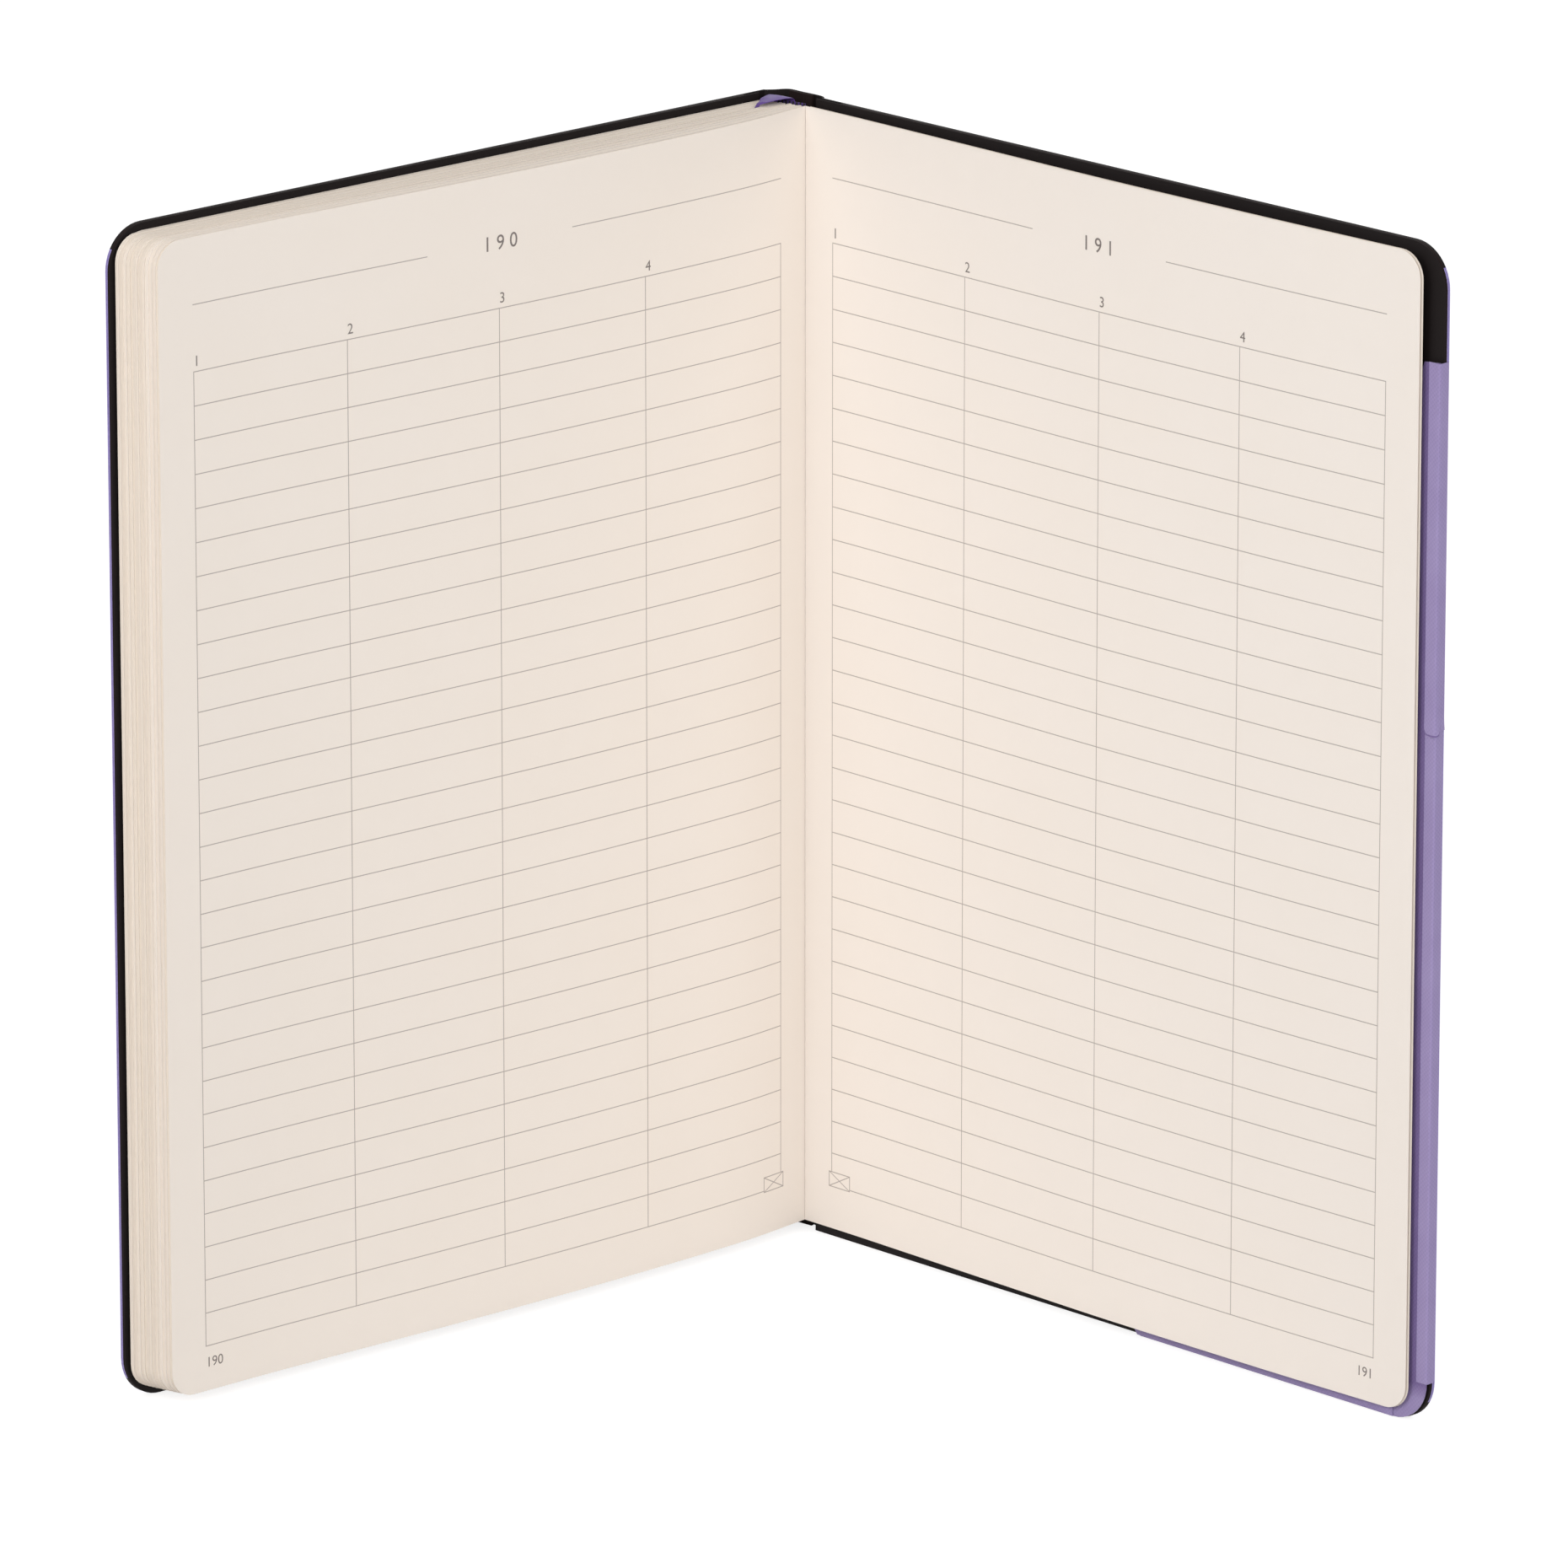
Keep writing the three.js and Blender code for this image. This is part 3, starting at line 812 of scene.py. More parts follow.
def make_panel(settings):
    """The pocket's own cloth: a deeper purple than its tapes, which is painted shadow of the right
    page, fading to their lilac at the corner.
    """
    covers = settings.notebook_covers

    def colours(x, y):
        # Painted shadow of the right page: deeper purple above the fade, lilac below it where the page
        # ends
        bound = (PAGE_SHADOW_FADE_TOP - y) / PAGE_SHADOW_FADE
        face = blend(bound, covers.panel, covers.pocket)
        return face, blend(bound, covers.panel_deep, covers.pocket_deep)

    return filled_cloth("Filled_book_cloth_with_painted_shade", colours)


def make_ribbon(settings):
    """Polyester satin ribbon, loom woven: long floats that shine along the width, and finely ribbed."""
    covers = settings.notebook_covers
    made = new_finish(
        "Polyester_satin_purple", Roughness=0.45, Anisotropic=0.5, Specular_IOR_Level=0.3
    )
    # The ribs stand for threads that are too fine to show
    y = parts_of(flat_place(made))[1]
    rib = maths("SINE", y * (2 * math.pi / RIBBON_RIB)) * 0.5 + 0.5
    return dress(made, blend(rib * 0.5, covers.ribbon, covers.ribbon_deep), rib, 0.03 * MM, 0.4)


def make_band(settings):
    """Woven cotton end band: black and deep purple threads wrapped side by side over a cord."""
    covers = settings.notebook_covers
    made = new_finish("Cotton_end_band", Roughness=0.85)
    x = parts_of(flat_place(made))[0]
    wave = maths("SINE", x * (2 * math.pi / BAND_STRIPE))
    stripe = add_node(x.tree, "ShaderNodeClamp", {"Value": wave * 2.0 + 0.5}, 0)
    return dress(made, blend(stripe, covers.ribbon_deep, covers.lining), wave, 0.05 * MM, 0.6)


def make_mull(settings):
    """Starched cotton mull over the folds: an open, cream gauze, stiff with glue."""
    made = new_finish("Cotton_mull", Roughness=0.9)
    turn = (math.radians(90), 0, math.radians(-SPINE_FACE_ANGLE))
    weave = woven(mapped(object_place(made), Rotation=turn), MULL_THREAD)
    return dress(made, blend(weave, linear("ddd6c6"), linear("b9b09c")), weave, 0.08 * MM, 0.7)


def make_thread(settings):
    """Waxed linen thread: twisted cream strands with a soft, greasy shine."""
    made = new_finish("Waxed_linen_thread", Roughness=0.5)
    place = object_place(made)
    inputs = {"Vector": place, "Scale": 1 / THREAD_TWIST, "Distortion": 1.0}
    ways = {"wave_type": "BANDS", "bands_direction": "DIAGONAL"}
    twist = add_node(place.tree, "ShaderNodeTexWave", inputs, "Fac", **ways)
    return dress(made, blend(twist, linear("efe9da"), linear("cfc6b0")), twist, 0.05 * MM, 0.5)


MAKERS = {
    "ruled": make_ruled_paper,
    "paper": make_plain_paper,
    "cut": make_cut_paper,
    "ink": make_ink,
    "skin": make_skin,
    "lining": make_lining,
    "board": make_board,
    "pocket": make_pocket,
    "panel": make_panel,
    "ribbon": make_ribbon,
    "band": make_band,
    "mull": make_mull,
    "thread": make_thread,
}
_finishes = {}


def finish_for(key):
    """One of the notebook's finishes, made the first time it is asked for."""
    if key not in _finishes:
        _finishes[key] = MAKERS[key](bpy.context.scene)
    return _finishes[key]


def fold_sheet(name, reach, low_end, high_end):
    """One flat sheet of a signature. X runs from the deeper leaf's fore edge, over the fold at 0,
    to the nearer leaf's. An end of None leaves the sheet cut at its fold."""
    inner = STATIONS[STATIONS < PAGE_WIDTH - PAGE_CORNER - 3 * MM]
    deep, near = (
        np.concatenate([inner, [end - PAGE_CORNER - 1 * MM, end]]) if end else np.empty(0)
        for end in (low_end, high_end)
    )
    arc = np.linspace(-1, 1, 7)[: 7 if high_end else 4] * reach
    sheet = flat_grid(name, np.concatenate([-deep[::-1], arc, near]), [0, PAGE_HEIGHT])
    round_corners(sheet, PAGE_CORNER, [-low_end, high_end] if high_end else [-low_end])
    return sheet


def fold_onto(obj, line, reach, radius, low):
    """Bends a flat sheet round its fold and down both sides of a signature's middle line."""
    flat = corners_of(obj)
    s = np.maximum(np.abs(flat[:, 0]), reach)
    turn = (1 - np.clip(flat[:, 0] / reach, -1, 1)) * math.pi / 2
    fan = 1 + (SETTLED_PITCH / SIGNATURE_PITCH - 1) * settling(s)
    out = radius * fan - flat[:, 2]
    # The nearer leaf lies on the viewer's side of the middle line, which is its negative side
    plan = line.at(s, -out * np.cos(turn))
    plan -= line.read(line.runs, s) * (out * np.sin(turn)).reshape(-1, 1)
    height = flat[:, 1] * (1 - low / PAGE_HEIGHT) + FOOT_SQUARE
    move_corners(obj, FRONT.place(plan[:, 0], height, plan[:, 1]))


class NOTEBOOK_OT_signatures(bpy.types.Operator):
    """Folds four sheets into each of the twelve signatures, with slightly uneven fore edges"""

    bl_idname = "notebook.signatures"
    bl_label = "Sewn signatures"

    def execute(self, context):
        settings = context.scene.notebook_paper
        chance = random.Random(settings.seed)
        reach = SHEETS_PER_SIGNATURE * LEAF_STEP
        for number in range(1, SIGNATURES + 1):
            line = block_line(fold_depth(number), settled_depth(number))
            short = chance.uniform(0, settings.trim)
            low = chance.uniform(0, settings.head_trim)
            tone = chance.uniform(0.1, 0.9)
            sheets = []
            for j in range(SHEETS_PER_SIGNATURE):
                # The two open leaves are the other halves of the last signature's outer sheets
                halved = number == SIGNATURES and j < 2
                trims = [PAGE_WIDTH - short - chance.uniform(0, settings.trim) for _ in range(2)]
                sheet = fold_sheet("sheet", reach, trims[0], None if halved else trims[1])
                thicken_leaf(sheet, settings.leaf_thickness, "ruled")
                fold_onto(sheet, line, reach, (SHEETS_PER_SIGNATURE - 0.5 - j) * LEAF_STEP, low)
                tint(sheet, min(1.0, max(0.0, tone + chance.uniform(-0.3, 0.3))))
                sheets.append(sheet)
            piece = join(sheets, f"sewn_signature_{number:02d}")
            finish_piece(piece, "block", "ivory_paper", f"signature_{number:02d}", angle=30)
        return {"FINISHED"}


def page_line(page):
    """The line and frame of an open page."""
    if page == "left":
        return block_line(OPEN_LEAF_AT), FRONT
    return PlanLine(np.array(RIGHT_PAGE) * MM), BACK


class NOTEBOOK_OT_open_leaves(bpy.types.Operator):
    """Hangs the two open leaves that carry pages 190 and 191"""

    bl_idname = "notebook.open_leaves"
    bl_label = "Open leaves"

    def execute(self, context):
        thickness = context.scene.notebook_paper.leaf_thickness
        leaves = (
            ("open_leaf_190", "leaf_189_190", "left", 0.35),
            ("open_leaf_191", "leaf_191_192", "right", 0.1),
        )
        for name, node, page, tone in leaves:
            line, frame_ = page_line(page)
            leaf = single_leaf(name, 0, PAGE_WIDTH, "ruled", thickness, tone)
            hang(leaf, frame_, line, FOOT_SQUARE)
            finish_piece(leaf, page + "_leaf", "ivory_paper", node)
        return {"FINISHED"}


class NOTEBOOK_OT_flyleaves(bpy.types.Operator):
    """Hangs the blank leaves between the block and the covers"""

    bl_idname = "notebook.flyleaves"
    bl_label = "Flyleaves"

    def execute(self, context):
        settings = context.scene.notebook_paper
        end = PAGE_WIDTH + settings.flyleaf_over
        back_line = PlanLine(np.array(BACK_FLYLEAF) * MM)
        front_line = PlanLine([[x * LINE_END * MM, FRONT_FLYLEAF_AT] for x in (0, 0.5, 1)])
        leaves = (
            ("back", BACK, back_line, BACK_FLYLEAF_START),
            ("front", FRONT, front_line, FRONT_FLYLEAF_START),
        )
        for side, frame_, line, start in leaves:
            name = f"blank_leaf_{side}"
            leaf = single_leaf(name, start, end, "paper", settings.leaf_thickness, 1.0)
            hang(leaf, frame_, line, FOOT_SQUARE)
            finish_piece(leaf, f"{side}_leaf", "ivory_paper", f"{side}_flyleaf")
        return {"FINISHED"}


def number_on_page(text, size, page, s, h, align="LEFT"):
    """Plain figures laid on an open page: s from the gutter and h above the foot, at the baseline."""
    deselect_all()
    bpy.ops.object.text_add()
    data = bpy.context.active_object.data
    data.body, data.size, data.align_x = text, size, align
    data.extrude, data.resolution_u = INK_HEIGHT, 4
    bpy.ops.object.convert(target="MESH")
    figures = bpy.context.active_object
    flat = corners_of(figures)
    line, frame_ = page_line(page)
    # The left page reads towards the gutter and faces its line's negative side
    way = -1 if page == "left" else 1
    plan = line.at(s + way * flat[:, 0], way * (LEAF_SHOWN / 2 + INK_CLEAR + flat[:, 2]))
    move_corners(figures, frame_.place(plan[:, 0], flat[:, 1] + h + FOOT_SQUARE, plan[:, 1]))
    return figures


class NOTEBOOK_OT_printed_numbers(bpy.types.Operator):
    """Prints the page numbers and the plain figures over the columns"""

    bl_idname = "notebook.printed_numbers"
    bl_label = "Printed numbers"

    def execute(self, context):
        middle = sum(TITLE_GAP) / 2
        for page, number, align in (("left", "190", "LEFT"), ("right", "191", "RIGHT")):
            title = " ".join(number)
            pieces = [
                number_on_page(number, FOOT_FIGURES, page, TABLE_END, FOOT_FIGURES_AT, align),
                number_on_page(title, TITLE_FIGURES, page, middle, TITLE_AT, "CENTER"),
            ]
            for column in range(COLUMNS):
                near = COLUMN_START + column * COLUMN_STEP
                at = near + COLUMN_STEP if page == "left" else near
                label = str(COLUMNS - column if page == "left" else column + 1)
                pieces.append(
                    number_on_page(label, LABEL_FIGURES, page, at, TABLE_TOP + LABEL_RISE)
                )
            figures = join(pieces, f"printed_figures_{number}")
            finish_piece(figures, f"{page}_leaf", "ivory_paper", finish="ink")
        return {"FINISHED"}


def flat_plate(name, start, end, low, high, near, far):
    """A flat box in a cover's own frame."""
    deselect_all()
    bpy.ops.mesh.primitive_cube_add(size=2)
    plate = new_active(name)
    unit = (corners_of(plate) + 1) / 2
    spans = np.array([[start, end], [low, high], [near, far]])
    move_corners(plate, spans[:, 0] + unit * (spans[:, 1] - spans[:, 0]))
    return plate


def end_edge(x, axis):
    """Picks the edges at one end of a plate that run along an axis: 1 upright, 2 through it."""

    def chosen(edge):
        a, b = (vert.co for vert in edge.verts)
        return abs(a.x - x) < NEAR and abs(b.x - x) < NEAR and abs(a[axis] - b[axis]) > NEAR

    return chosen


def rim_edge(obj, past):
    """Picks the edges round a plate's two broad faces, apart from those before a given X."""
    depth = corners_of(obj)[:, 2]
    faces = depth.min(), depth.max()

    def chosen(edge):
        a, b = (vert.co for vert in edge.verts)
        level = abs(a.z - b.z) < NEAR / 10 and any(abs(a.z - z) < NEAR / 10 for z in faces)
        outer = level and max(a.x, b.x) > past and len(edge.link_faces) == 2
        return outer and edge.calc_face_angle() > 0.5

    return chosen


def stand_in_frame(obj, frame_):
    map_flat(obj)
    flat = corners_of(obj)
    move_corners(obj, frame_.place(flat[:, 0], flat[:, 1], flat[:, 2]))


def back_with_black(obj, inward):
    """Gives a flat skin its lilac face and fore edge. Its inner side, head and foot are black."""
    obj.data.materials.append(finish_for("skin"))
    obj.data.materials.append(finish_for("lining"))
    for face in obj.data.polygons:
        inner = face.normal.z * inward > 0.7
        face.material_index = 1 if inner or abs(face.normal.y) > 0.5 else 0


def cover_layers():
    """The layers from the inside out: start past the crease, depths, slot and finish.
    They meet here, where the part keeps a glue line between them."""
    skin = LINING + BOARD + 2 * GLUE_LINE
    turned = skin - TURNED
    board = LINING + GLUE_LINE / 2
    return (
        ("lining", LINING_START, 0.0, LINING, "black_lining", "lining"),
        ("board", BOARD_START, board, turned, "black_board", "board"),
        ("turned_edge", BOARD_START, turned, skin, "lilac_skin", None),
        ("skin", -SKIN / 2, skin, skin + SKIN, "lilac_skin", None),
    )


class NOTEBOOK_OT_covers(bpy.types.Operator):
    """Builds the lining, board and skin of both covers with rounded corners and softened edges"""

    bl_idname = "notebook.covers"
    bl_label = "Covers"

    def execute(self, context):
        edge = context.scene.notebook_covers.edge
        sides = (
            ("front_cover", FRONT, FRONT_CREASE_ALONG, FRONT_INNER_FACE, 1),
            ("back_cover", BACK, BACK_CREASE_ALONG, BACK_INNER_FACE, -1),
        )
        for side, frame_, crease, inner_face, outward in sides:
            end = crease + COVER_WIDTH
            for layer, start, inner, outer, slot, finish in cover_layers():
                if layer == "lining" and side == "back_cover":
                    # The endpaper runs on past the crease, which keeps the foot of the gutter black
                    start = -HINGE_OVERRUN
                depths = sorted(outward * (inner_face + depth) for depth in (inner, outer))
                name = f"{side}_{layer}_shown"
                plate = flat_plate(name, crease + start, end, 0, COVER_HEIGHT, *depths)
                bevel(plate, end_edge(end, 2), COVER_CORNER, 12)
                if layer == "skin":
                    bevel(plate, end_edge(crease + start, 1), SKIN / 2 - NEAR, 5)
                    bevel(plate, rim_edge(plate, crease + 1 * MM), 2 * edge, 3)
                if finish is None:
                    back_with_black(plate, -outward)
                elif layer == "lining":
                    bevel(plate, rim_edge(plate, crease), 0.6 * edge, 2)
                stand_in_frame(plate, frame_)
                nodes = [] if layer == "turned_edge" else [f"{side}_{layer}"]
                finish_piece(plate, side, slot, *nodes, finish=finish, angle=50)
        return {"FINISHED"}


class NOTEBOOK_OT_spine(bpy.types.Operator):
    """Bends the spine skin from crease to crease, adds the end bands, and finishes what is inside"""

    bl_idname = "notebook.spine"
    bl_label = "Spine"

    def execute(self, context):
        middle = COVER_THICKNESS - SKIN / 2
        front = FRONT.plan([FRONT_CREASE_ALONG], [FRONT_INNER_FACE + middle])[0]
        back = BACK.plan([BACK_CREASE_ALONG], [-(BACK_INNER_FACE + middle)])[0]
        line = PlanLine([front, *(SPINE_LINE - FOOT_CENTRE), back])
        skin = flat_grid("spine_skin_shown", np.linspace(0, line.length, 41), [0, COVER_HEIGHT])
        apply_modifier(skin, "SOLIDIFY", thickness=SKIN, offset=0)
        bevel(skin, rim_edge(skin, -1), SKIN / 3, 3)
        back_with_black(skin, -1)
        map_flat(skin)
        flat = corners_of(skin)
        plan = line.at(flat[:, 0], flat[:, 2])
        move_corners(skin, np.column_stack([plan, flat[:, 1]]))
        turn_out(skin)
        finish_piece(skin, "spine", "lilac_skin", "spine_skin", angle=50)

        foot = FOOT_SQUARE - BAND_PROUD
        head = FOOT_SQUARE + PAGE_HEIGHT + BAND_PROUD - BAND_HEIGHT
        depths = BAND_OUT, BAND_OUT + BAND_DEPTH
        for name, low in (("head_band", head), ("tail_band", foot)):
            band = flat_plate(name + "_shown", *BAND_ENDS, low, low + BAND_HEIGHT, *depths)
            bevel(band, rim_edge(band, -1), BAND_ROUND, 3)
            stand_in_frame(band, SPINE_FACE)
            finish_piece(band, "block", "band_cloth", name, finish="band", angle=60)

        inside = {"spine_stiffener": "board", "spine_lining": "mull"}
        inside.update({f"sewing_thread_{row}": "thread" for row in range(1, 6)})
        for node, finish in inside.items():
            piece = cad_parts[node]
            piece.data.materials.clear()
            piece.data.materials.append(finish_for(finish))
        return {"FINISHED"}


def ribbon_rows():
    """Where the ribbon's middle runs and half its width, in the front cover's frame."""
    depth = fold_depth(RIBBON_AFTER_SIGNATURE + 1) + (SIGNATURE_PITCH + RIBBON_SPACE) / 2
    rest_x, rest_z = block_line(depth).at([RIBBON_DIVE], 0.0)[0] / MM
    across, skew = depth * FOLD_ACROSS / MM, FOLD_ALONG
    hollow = (depth * FOLD_ALONG - RIBBON_OUT) / MM
    head = (FOOT_SQUARE + PAGE_HEIGHT) / MM
    top = head + RIBBON_RISE / MM
    flat = RIBBON_WIDTH / 2 / MM
    glued = head - RIBBON_GLUED / MM
    rise = ((0, glued), (0, head - 6), (0, head - 1.2), (0.1, head + 0.4), (0.5, top - 0.2), (1.4, top))
    rows = [[hollow + x, y, across, flat * skew, 0, flat] for x, y in rise]
    for x, y, narrowed in ((6.3, top, 0.92), (3.9, top - 0.15, 0.66)):
        rows.append([rest_x - x, y, across, flat * narrowed * skew, 0, flat * narrowed])
    rows += [
        [rest_x - 1.9, top - 0.45, rest_z, 0.14, 0, flat * 0.32],
        [rest_x - 0.8, head + 0.45, rest_z, 0.33, 0.2, 0.07],
        [rest_x - 0.3, head - 0.6, rest_z, 0.8, 0, 0.03],
        [rest_x, head - 6, rest_z, 2.0, 0, 0],
    ]
    down = (head - 12, head - 60, RIBBON_END / MM)
    return np.array(rows + [[rest_x, y, rest_z, flat, 0, 0] for y in down]) * MM


class NOTEBOOK_OT_ribbon(bpy.types.Operator):
    """Lays the satin ribbon up the hollow spine, over the head and down between two signatures"""

    bl_idname = "notebook.ribbon"
    bl_label = "Ribbon bookmark"

    def execute(self, context):
        rows = ribbon_rows()
        steps = np.linalg.norm(np.diff(rows[:, :3], axis=0), axis=1)
        at = np.concatenate([[0], np.cumsum(steps)])
        fine = np.concatenate([[at[0], at[1]], np.linspace(at[2], at[11], 46), at[12:]])
        ribbon = flat_grid("satin_ribbon", np.linspace(-1, 1, 9), fine)
        flat = corners_of(ribbon)
        middle = np.column_stack([np.interp(flat[:, 1], at, rows[:, k]) for k in range(6)])
        placed = middle[:, :3] + middle[:, 3:] * flat[:, :1]
        # The ribbon lies a little crowned over the head
        on_head = np.interp(flat[:, 1], [at[3], at[5], at[8], at[9]], [0, 1, 1, 0])
        placed[:, 1] += on_head * (RIBBON_CROWN * (1 - flat[:, 0] ** 2) - RIBBON_SINK)
        flat[:, 0] *= RIBBON_WIDTH / 2
        move_corners(ribbon, flat)
        map_flat(ribbon)
        move_corners(ribbon, FRONT.place(placed[:, 0], placed[:, 1], placed[:, 2]))
        apply_modifier(ribbon, "SOLIDIFY", thickness=RIBBON_SHOWN, offset=0)
        apply_modifier(ribbon, "SUBSURF", levels=1, render_levels=1)
        turn_out(ribbon)
        finish_piece(ribbon, "block", "purple_ribbon", "ribbon_bookmark", finish="ribbon", angle=70)
        return {"FINISHED"}


def bound_tape(name, low, high, near, out, lift_low=0.0):
    """A tape on the pocket's edge, turned over the cover's fore edge. Its low end can lift a little
    with rounded corners, where it laps over the other tape."""
    fore_edge = BACK_CREASE_ALONG + COVER_WIDTH
    front_z = near + TAPE_SHOWN / 2
    side_x = fore_edge + out
    skin_z = -(BACK_INNER_FACE + COVER_THICKNESS - SKIN)
    turn = np.radians([0, 22.5, 45, 67.5, 90])
    bend = TAPE_BEND
    corner = [side_x - bend + bend * np.sin(turn), front_z - bend + bend * np.cos(turn)]
    start = fore_edge - POCKET_INSET - TAPE_FACE
    face = [[x, front_z] for x in np.linspace(start, side_x - 2 * bend, 5)]
    side = [[side_x, front_z - 2 * bend], [side_x, skin_z]]
    line = PlanLine([*face, *np.column_stack(corner), *side])
    rise = TAPE_END_RISE
    low_part, high_part = np.linspace(low, low + rise, 9), np.linspace(high - rise, high, 9)
    levels = np.concatenate([low_part[:-1], [(low + high) / 2], high_part])
    across = [np.linspace(0, TAPE_FACE, 9)[:-1], np.linspace(TAPE_FACE, line.length, 9)]
    tape = flat_grid(name, np.concatenate(across), levels)
    if lift_low:
        flat = corners_of(tape)
        off = np.clip(np.abs(flat[:, 0] / (LAP_WIDTH / 2) - 1), 0, 1)
        near_end = np.clip(1 - (flat[:, 1] - low) / rise, 0, 1)
        flat[:, 1] += LAP_CORNER * off**LAP_SHARPNESS * near_end
        move_corners(tape, flat)
    tape.data.materials.append(finish_for("pocket"))
    # The tapes' cut edges take the panel finish, so they carry its painted shade
    tape.data.materials.append(finish_for("panel"))
    apply_modifier(tape, "SOLIDIFY", thickness=TAPE_SHOWN, offset=0, material_offset_rim=1)
    map_flat(tape)
    flat = corners_of(tape)
    from_low = np.clip(1 - (flat[:, 1] - low) / TAPE_LIFT_RUN, 0, 1) ** 2
    over_front = np.interp(flat[:, 0], [0, TAPE_FACE / 2, TAPE_FACE], [0.3, 0.8, 1])
    plan = line.at(flat[:, 0], flat[:, 2] + lift_low * from_low * over_front)
    move_corners(tape, BACK.place(plan[:, 0], flat[:, 1], plan[:, 1]))
    return tape


class NOTEBOOK_OT_pocket(bpy.types.Operator):
    """Cuts the cloth-faced pocket panel and binds its edges with tape"""

    bl_idname = "notebook.pocket"
    bl_label = "Pocket"

    def execute(self, context):
        fore_edge = BACK_CREASE_ALONG + COVER_WIDTH
        near = -(BACK_INNER_FACE - POCKET_STAND)
        panel_edge = fore_edge - POCKET_INSET
        corner = COVER_CORNER - POCKET_INSET
        left = fore_edge - POCKET_FOOT_WIDTH
        outline = (
            [left, POCKET_INSET, 0],
            [panel_edge, POCKET_INSET, 0],
            [panel_edge, POCKET_TOP, 0],
            [panel_edge - TAPE_WIDTH, POCKET_TOP - POCKET_MOUTH_DROP, 0],
            [left - POCKET_MOUTH_RUN, FOOT_TAPE_HEIGHT + FOOT_TAPE_CLEAR, 0],
        )
        deselect_all()
        bpy.ops.mesh.primitive_circle_add(vertices=len(outline), radius=1, fill_type="NGON")
        panel = new_active("pocket_panel_shown")
        ring = corners_of(panel)
        order = np.argsort(np.arctan2(ring[:, 1], ring[:, 0]) % (2 * math.pi))
        ring[order] = outline
        move_corners(panel, ring)

        def at_foot_corner(vert):
            return abs(vert.co.x - panel_edge) < NEAR and vert.co.y < 1 * MM

        bevel(panel, at_foot_corner, corner, 10, "VERTICES")
        edit(panel, "FACE", every, bpy.ops.mesh.quads_convert_to_tris)
        apply_modifier(panel, "SOLIDIFY", thickness=POCKET, offset=0)
        map_flat(panel)
        flat = corners_of(panel)
        move_corners(panel, BACK.place(flat[:, 0], flat[:, 1], near - POCKET / 2 + flat[:, 2]))
        finish_piece(panel, "back_cover", "lilac_pocket", "pocket_panel", finish="panel")

        foot_ends = left + 1 * MM, panel_edge - corner
        foot_span = POCKET_INSET, POCKET_INSET + FOOT_TAPE_HEIGHT
        lower_span = COVER_CORNER, LAP_AT + 2 * LAP_CORNER
        near += TAPE_GAP
        over = near + TAPE + TAPE_GAP
        name = "pocket_tape_{}_shown".format
        lower = bound_tape(name("lower"), *lower_span, near, TAPE_SHOWN)
        upper = bound_tape(name("upper"), LAP_AT, POCKET_TOP, over, 2 * TAPE_SHOWN, TAPE_END_LIFT)
        foot = flat_plate(name("foot"), *foot_ends, *foot_span, near, near + TAPE)
        bevel(foot, rim_edge(foot, -1), FOOT_TAPE_ROUND, 2)
        stand_in_frame(foot, BACK)
        tapes = (("lower", lower, None), ("upper", upper, None), ("foot", foot, "pocket"))
        for place, tape, finish in tapes:
            finish_piece(tape, "back_cover", "lilac_pocket", f"pocket_tape_{place}", finish=finish)
        return {"FINISHED"}


# The photograph's camera: a long lens, looking down at the notebook
CAMERA_PLACE = np.array([-4.49, -2692.97, 882.54]) * MM
CAMERA_PITCH = 73.75
CAMERA_LENS = 309.64
CAMERA_SENSOR = 36.0
LAMPS_AIM_AT = np.array([0, 0, 0.12])

WHITE = (1, 1, 1, 1)
FLOOR_IN_LIGHT = (0.8, 0.8, 0.8, 1)
FLOOR_SHOWN = (0.4, 0.39, 0.39, 1)
FLOOR_GLOW = 0.81


def shade_by_ray(tree, output, lit, shown):
    """Ends a tree: one shader for the light, and another for the camera, mirrors and glass."""
    rays = [
        add_node(tree, "ShaderNodeLightPath", (), f"Is {kind} Ray")
        for kind in ("Camera", "Glossy", "Transmission")
    ]
    seen = rays[0] | rays[1] | rays[2]
    mixed = add_node(tree, "ShaderNodeMixShader", {0: seen, 1: lit, 2: shown}, 0)
    add_node(tree, output, {"Surface": mixed})


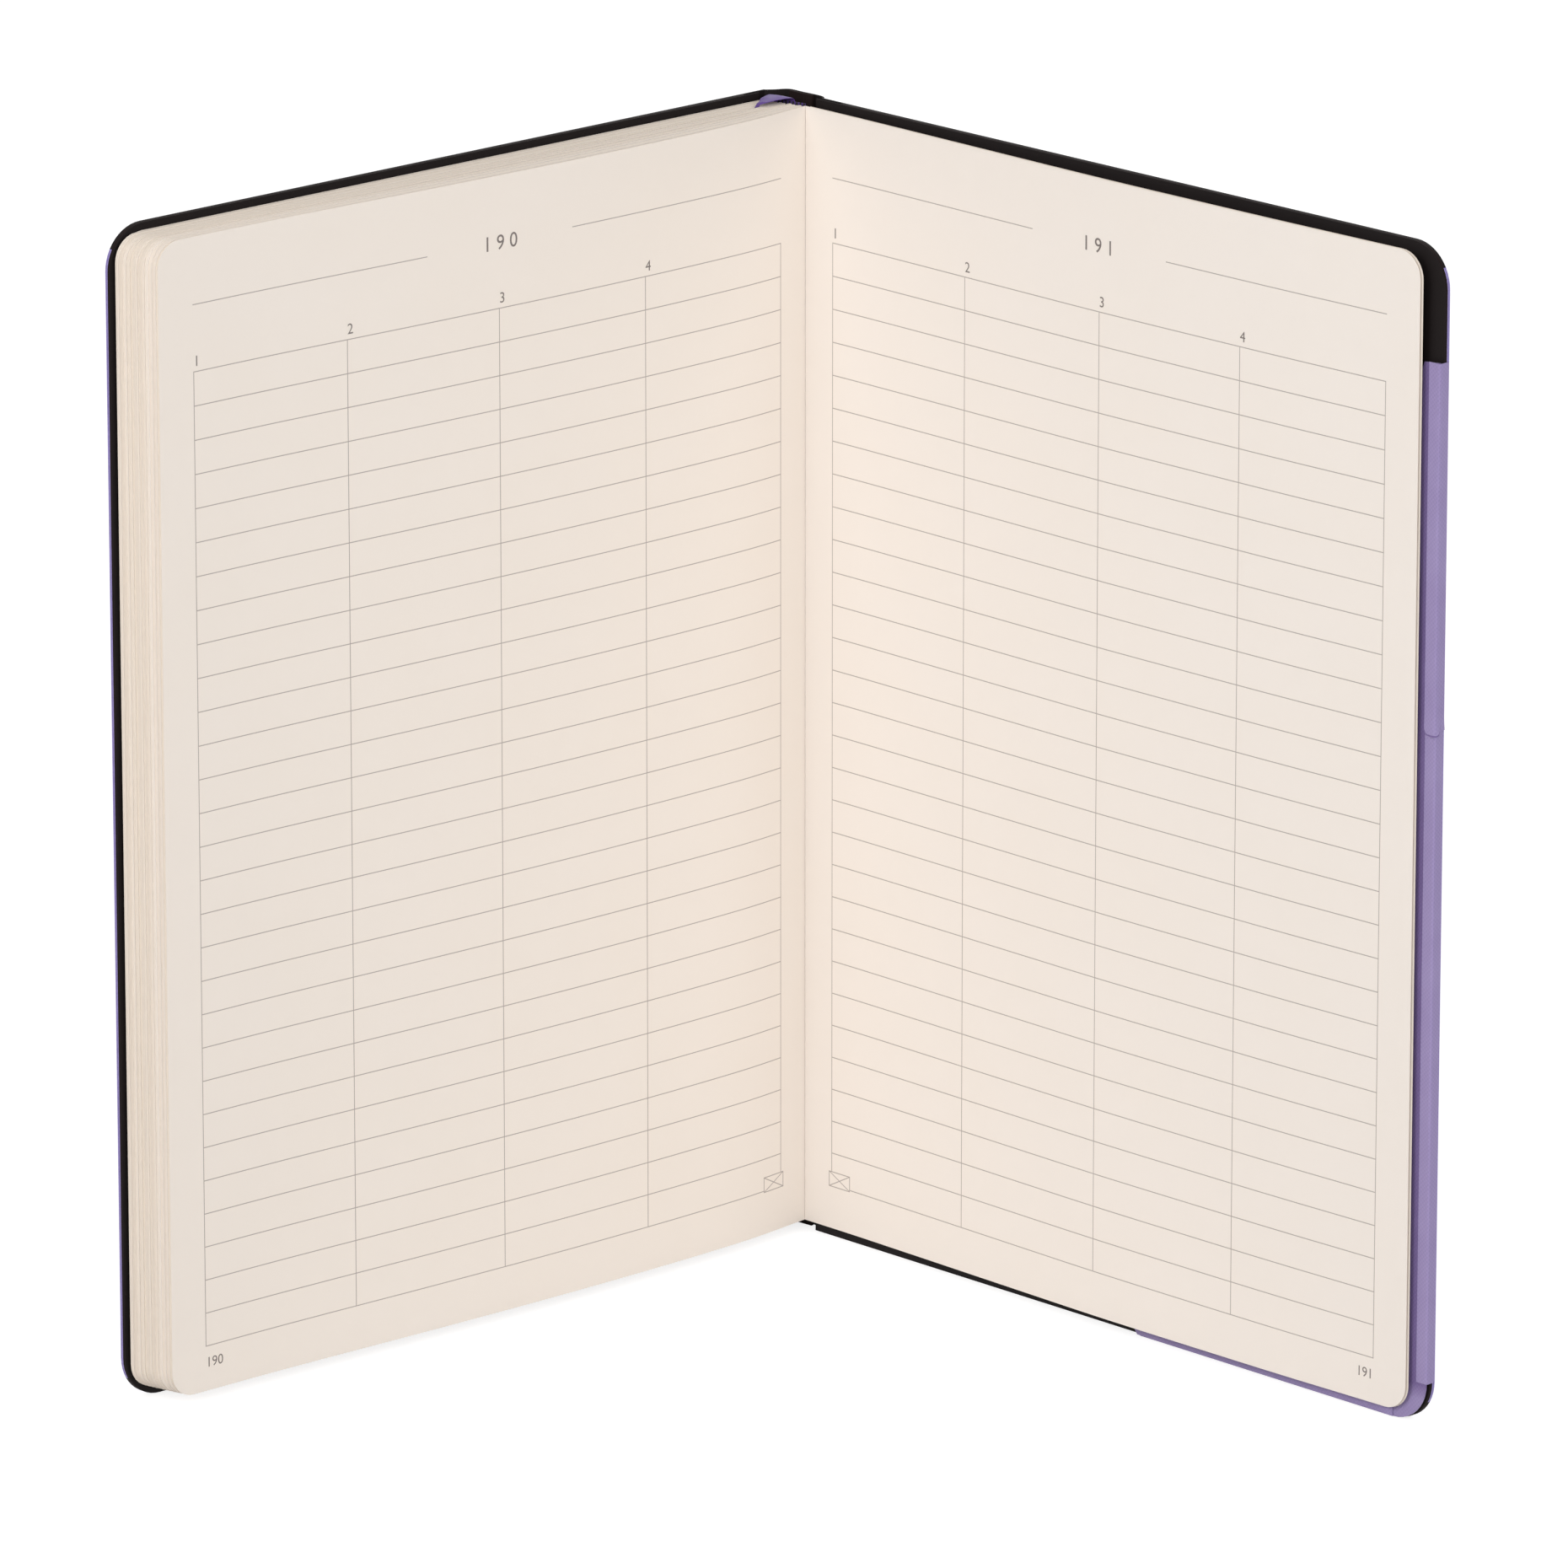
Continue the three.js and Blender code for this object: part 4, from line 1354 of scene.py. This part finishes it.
class NOTEBOOK_OT_stage(bpy.types.Operator):
    """Sets the pale floor, the soft light and the camera"""

    bl_idname = "notebook.stage"
    bl_label = "Stage"

    def execute(self, context):
        scene = context.scene
        settings = scene.notebook_stage
        deselect_all()
        bpy.ops.mesh.primitive_plane_add(size=settings.floor_size)
        floor = new_active("floor")
        material, world = bpy.data.materials.new("Pale_floor"), bpy.data.worlds.new("Soft_studio")
        for holder in (material, world):
            holder.use_nodes = True
            holder.node_tree.nodes.clear()

        tree = material.node_tree
        lit = add_node(tree, "ShaderNodeBsdfDiffuse", {"Color": FLOOR_IN_LIGHT}, 0)
        shown = add_node(tree, "ShaderNodeBsdfDiffuse", {"Color": FLOOR_SHOWN}, 0)
        glow = add_node(tree, "ShaderNodeEmission", {"Color": WHITE, "Strength": FLOOR_GLOW}, 0)
        pale = add_node(tree, "ShaderNodeAddShader", {0: shown, 1: glow}, 0)
        shade_by_ray(tree, "ShaderNodeOutputMaterial", lit, pale)
        floor.data.materials.append(material)

        tree = world.node_tree
        ambient, white = (
            add_node(tree, "ShaderNodeBackground", {"Color": WHITE, "Strength": strength}, 0)
            for strength in (settings.ambient, 1.0)
        )
        shade_by_ray(tree, "ShaderNodeOutputWorld", ambient, white)
        scene.world = world

        lamps = (
            ("key_lamp", (-1.6, -1.9, 1.35), 1.1, settings.key_power),
            ("fill_lamp", (1.4, -1.9, 1.1), 1.3, settings.fill_power),
            ("front_lamp", (-0.2, -2.5, 1.5), 0.9, settings.front_power),
            ("back_lamp", (0.5, 2.3, 1.9), 1.4, settings.back_power),
        )
        for name, place, size, power in lamps:
            data = bpy.data.lights.new(name, "AREA")
            data.size, data.energy = size, power
            lamp = bpy.data.objects.new(name, data)
            scene.collection.objects.link(lamp)
            lamp.location = place
            x, y, z = LAMPS_AIM_AT - place
            lamp.rotation_euler = (
                math.atan2(math.hypot(x, y), -z), 0, math.atan2(y, x) - math.pi / 2
            )

        data = bpy.data.cameras.new("photo_camera")
        data.lens, data.sensor_width, data.clip_end = CAMERA_LENS, CAMERA_SENSOR, 50
        camera = bpy.data.objects.new("photo_camera", data)
        scene.collection.objects.link(camera)
        camera.location = (*(CAMERA_PLACE[:2] - FOOT_CENTRE), CAMERA_PLACE[2])
        camera.rotation_euler = (math.radians(CAMERA_PITCH), 0, 0)
        scene.camera = camera
        scene.view_settings.view_transform = "Standard"
        return {"FINISHED"}


OPERATORS = (
    NOTEBOOK_OT_signatures,
    NOTEBOOK_OT_open_leaves,
    NOTEBOOK_OT_flyleaves,
    NOTEBOOK_OT_printed_numbers,
    NOTEBOOK_OT_covers,
    NOTEBOOK_OT_spine,
    NOTEBOOK_OT_ribbon,
    NOTEBOOK_OT_pocket,
    NOTEBOOK_OT_stage,
)


class NOTEBOOK_PT_build(bpy.types.Panel):
    """Lists the notebook's pieces in the order in which they are built"""

    bl_idname = "NOTEBOOK_PT_build"
    bl_label = "Lined notebook"
    bl_space_type = "VIEW_3D"
    bl_region_type = "UI"
    bl_category = "Notebook"

    def draw(self, context):
        for operator in OPERATORS:
            self.layout.operator(operator.bl_idname)
        for name in SETTINGS:
            group = getattr(context.scene, name)
            box = self.layout.box()
            for prop in group.bl_rna.properties:
                if prop.identifier not in ("rna_type", "name"):
                    box.prop(group, prop.identifier)


SETTINGS = {
    "notebook_paper": PaperSettings,
    "notebook_print": PrintSettings,
    "notebook_covers": CoverSettings,
    "notebook_stage": StageSettings,
}
CLASSES = (*SETTINGS.values(), *OPERATORS, NOTEBOOK_PT_build)


def register():
    for cls in CLASSES:
        bpy.utils.register_class(cls)
    for name, group in SETTINGS.items():
        setattr(bpy.types.Scene, name, bpy.props.PointerProperty(type=group))


def unregister():
    for name in SETTINGS:
        delattr(bpy.types.Scene, name)
    for cls in reversed(CLASSES):
        bpy.utils.unregister_class(cls)


def main():
    register()
    for operator in OPERATORS:
        group, name = operator.bl_idname.split(".")
        getattr(getattr(bpy.ops, group), name)()


if __name__ == "__main__":
    main()
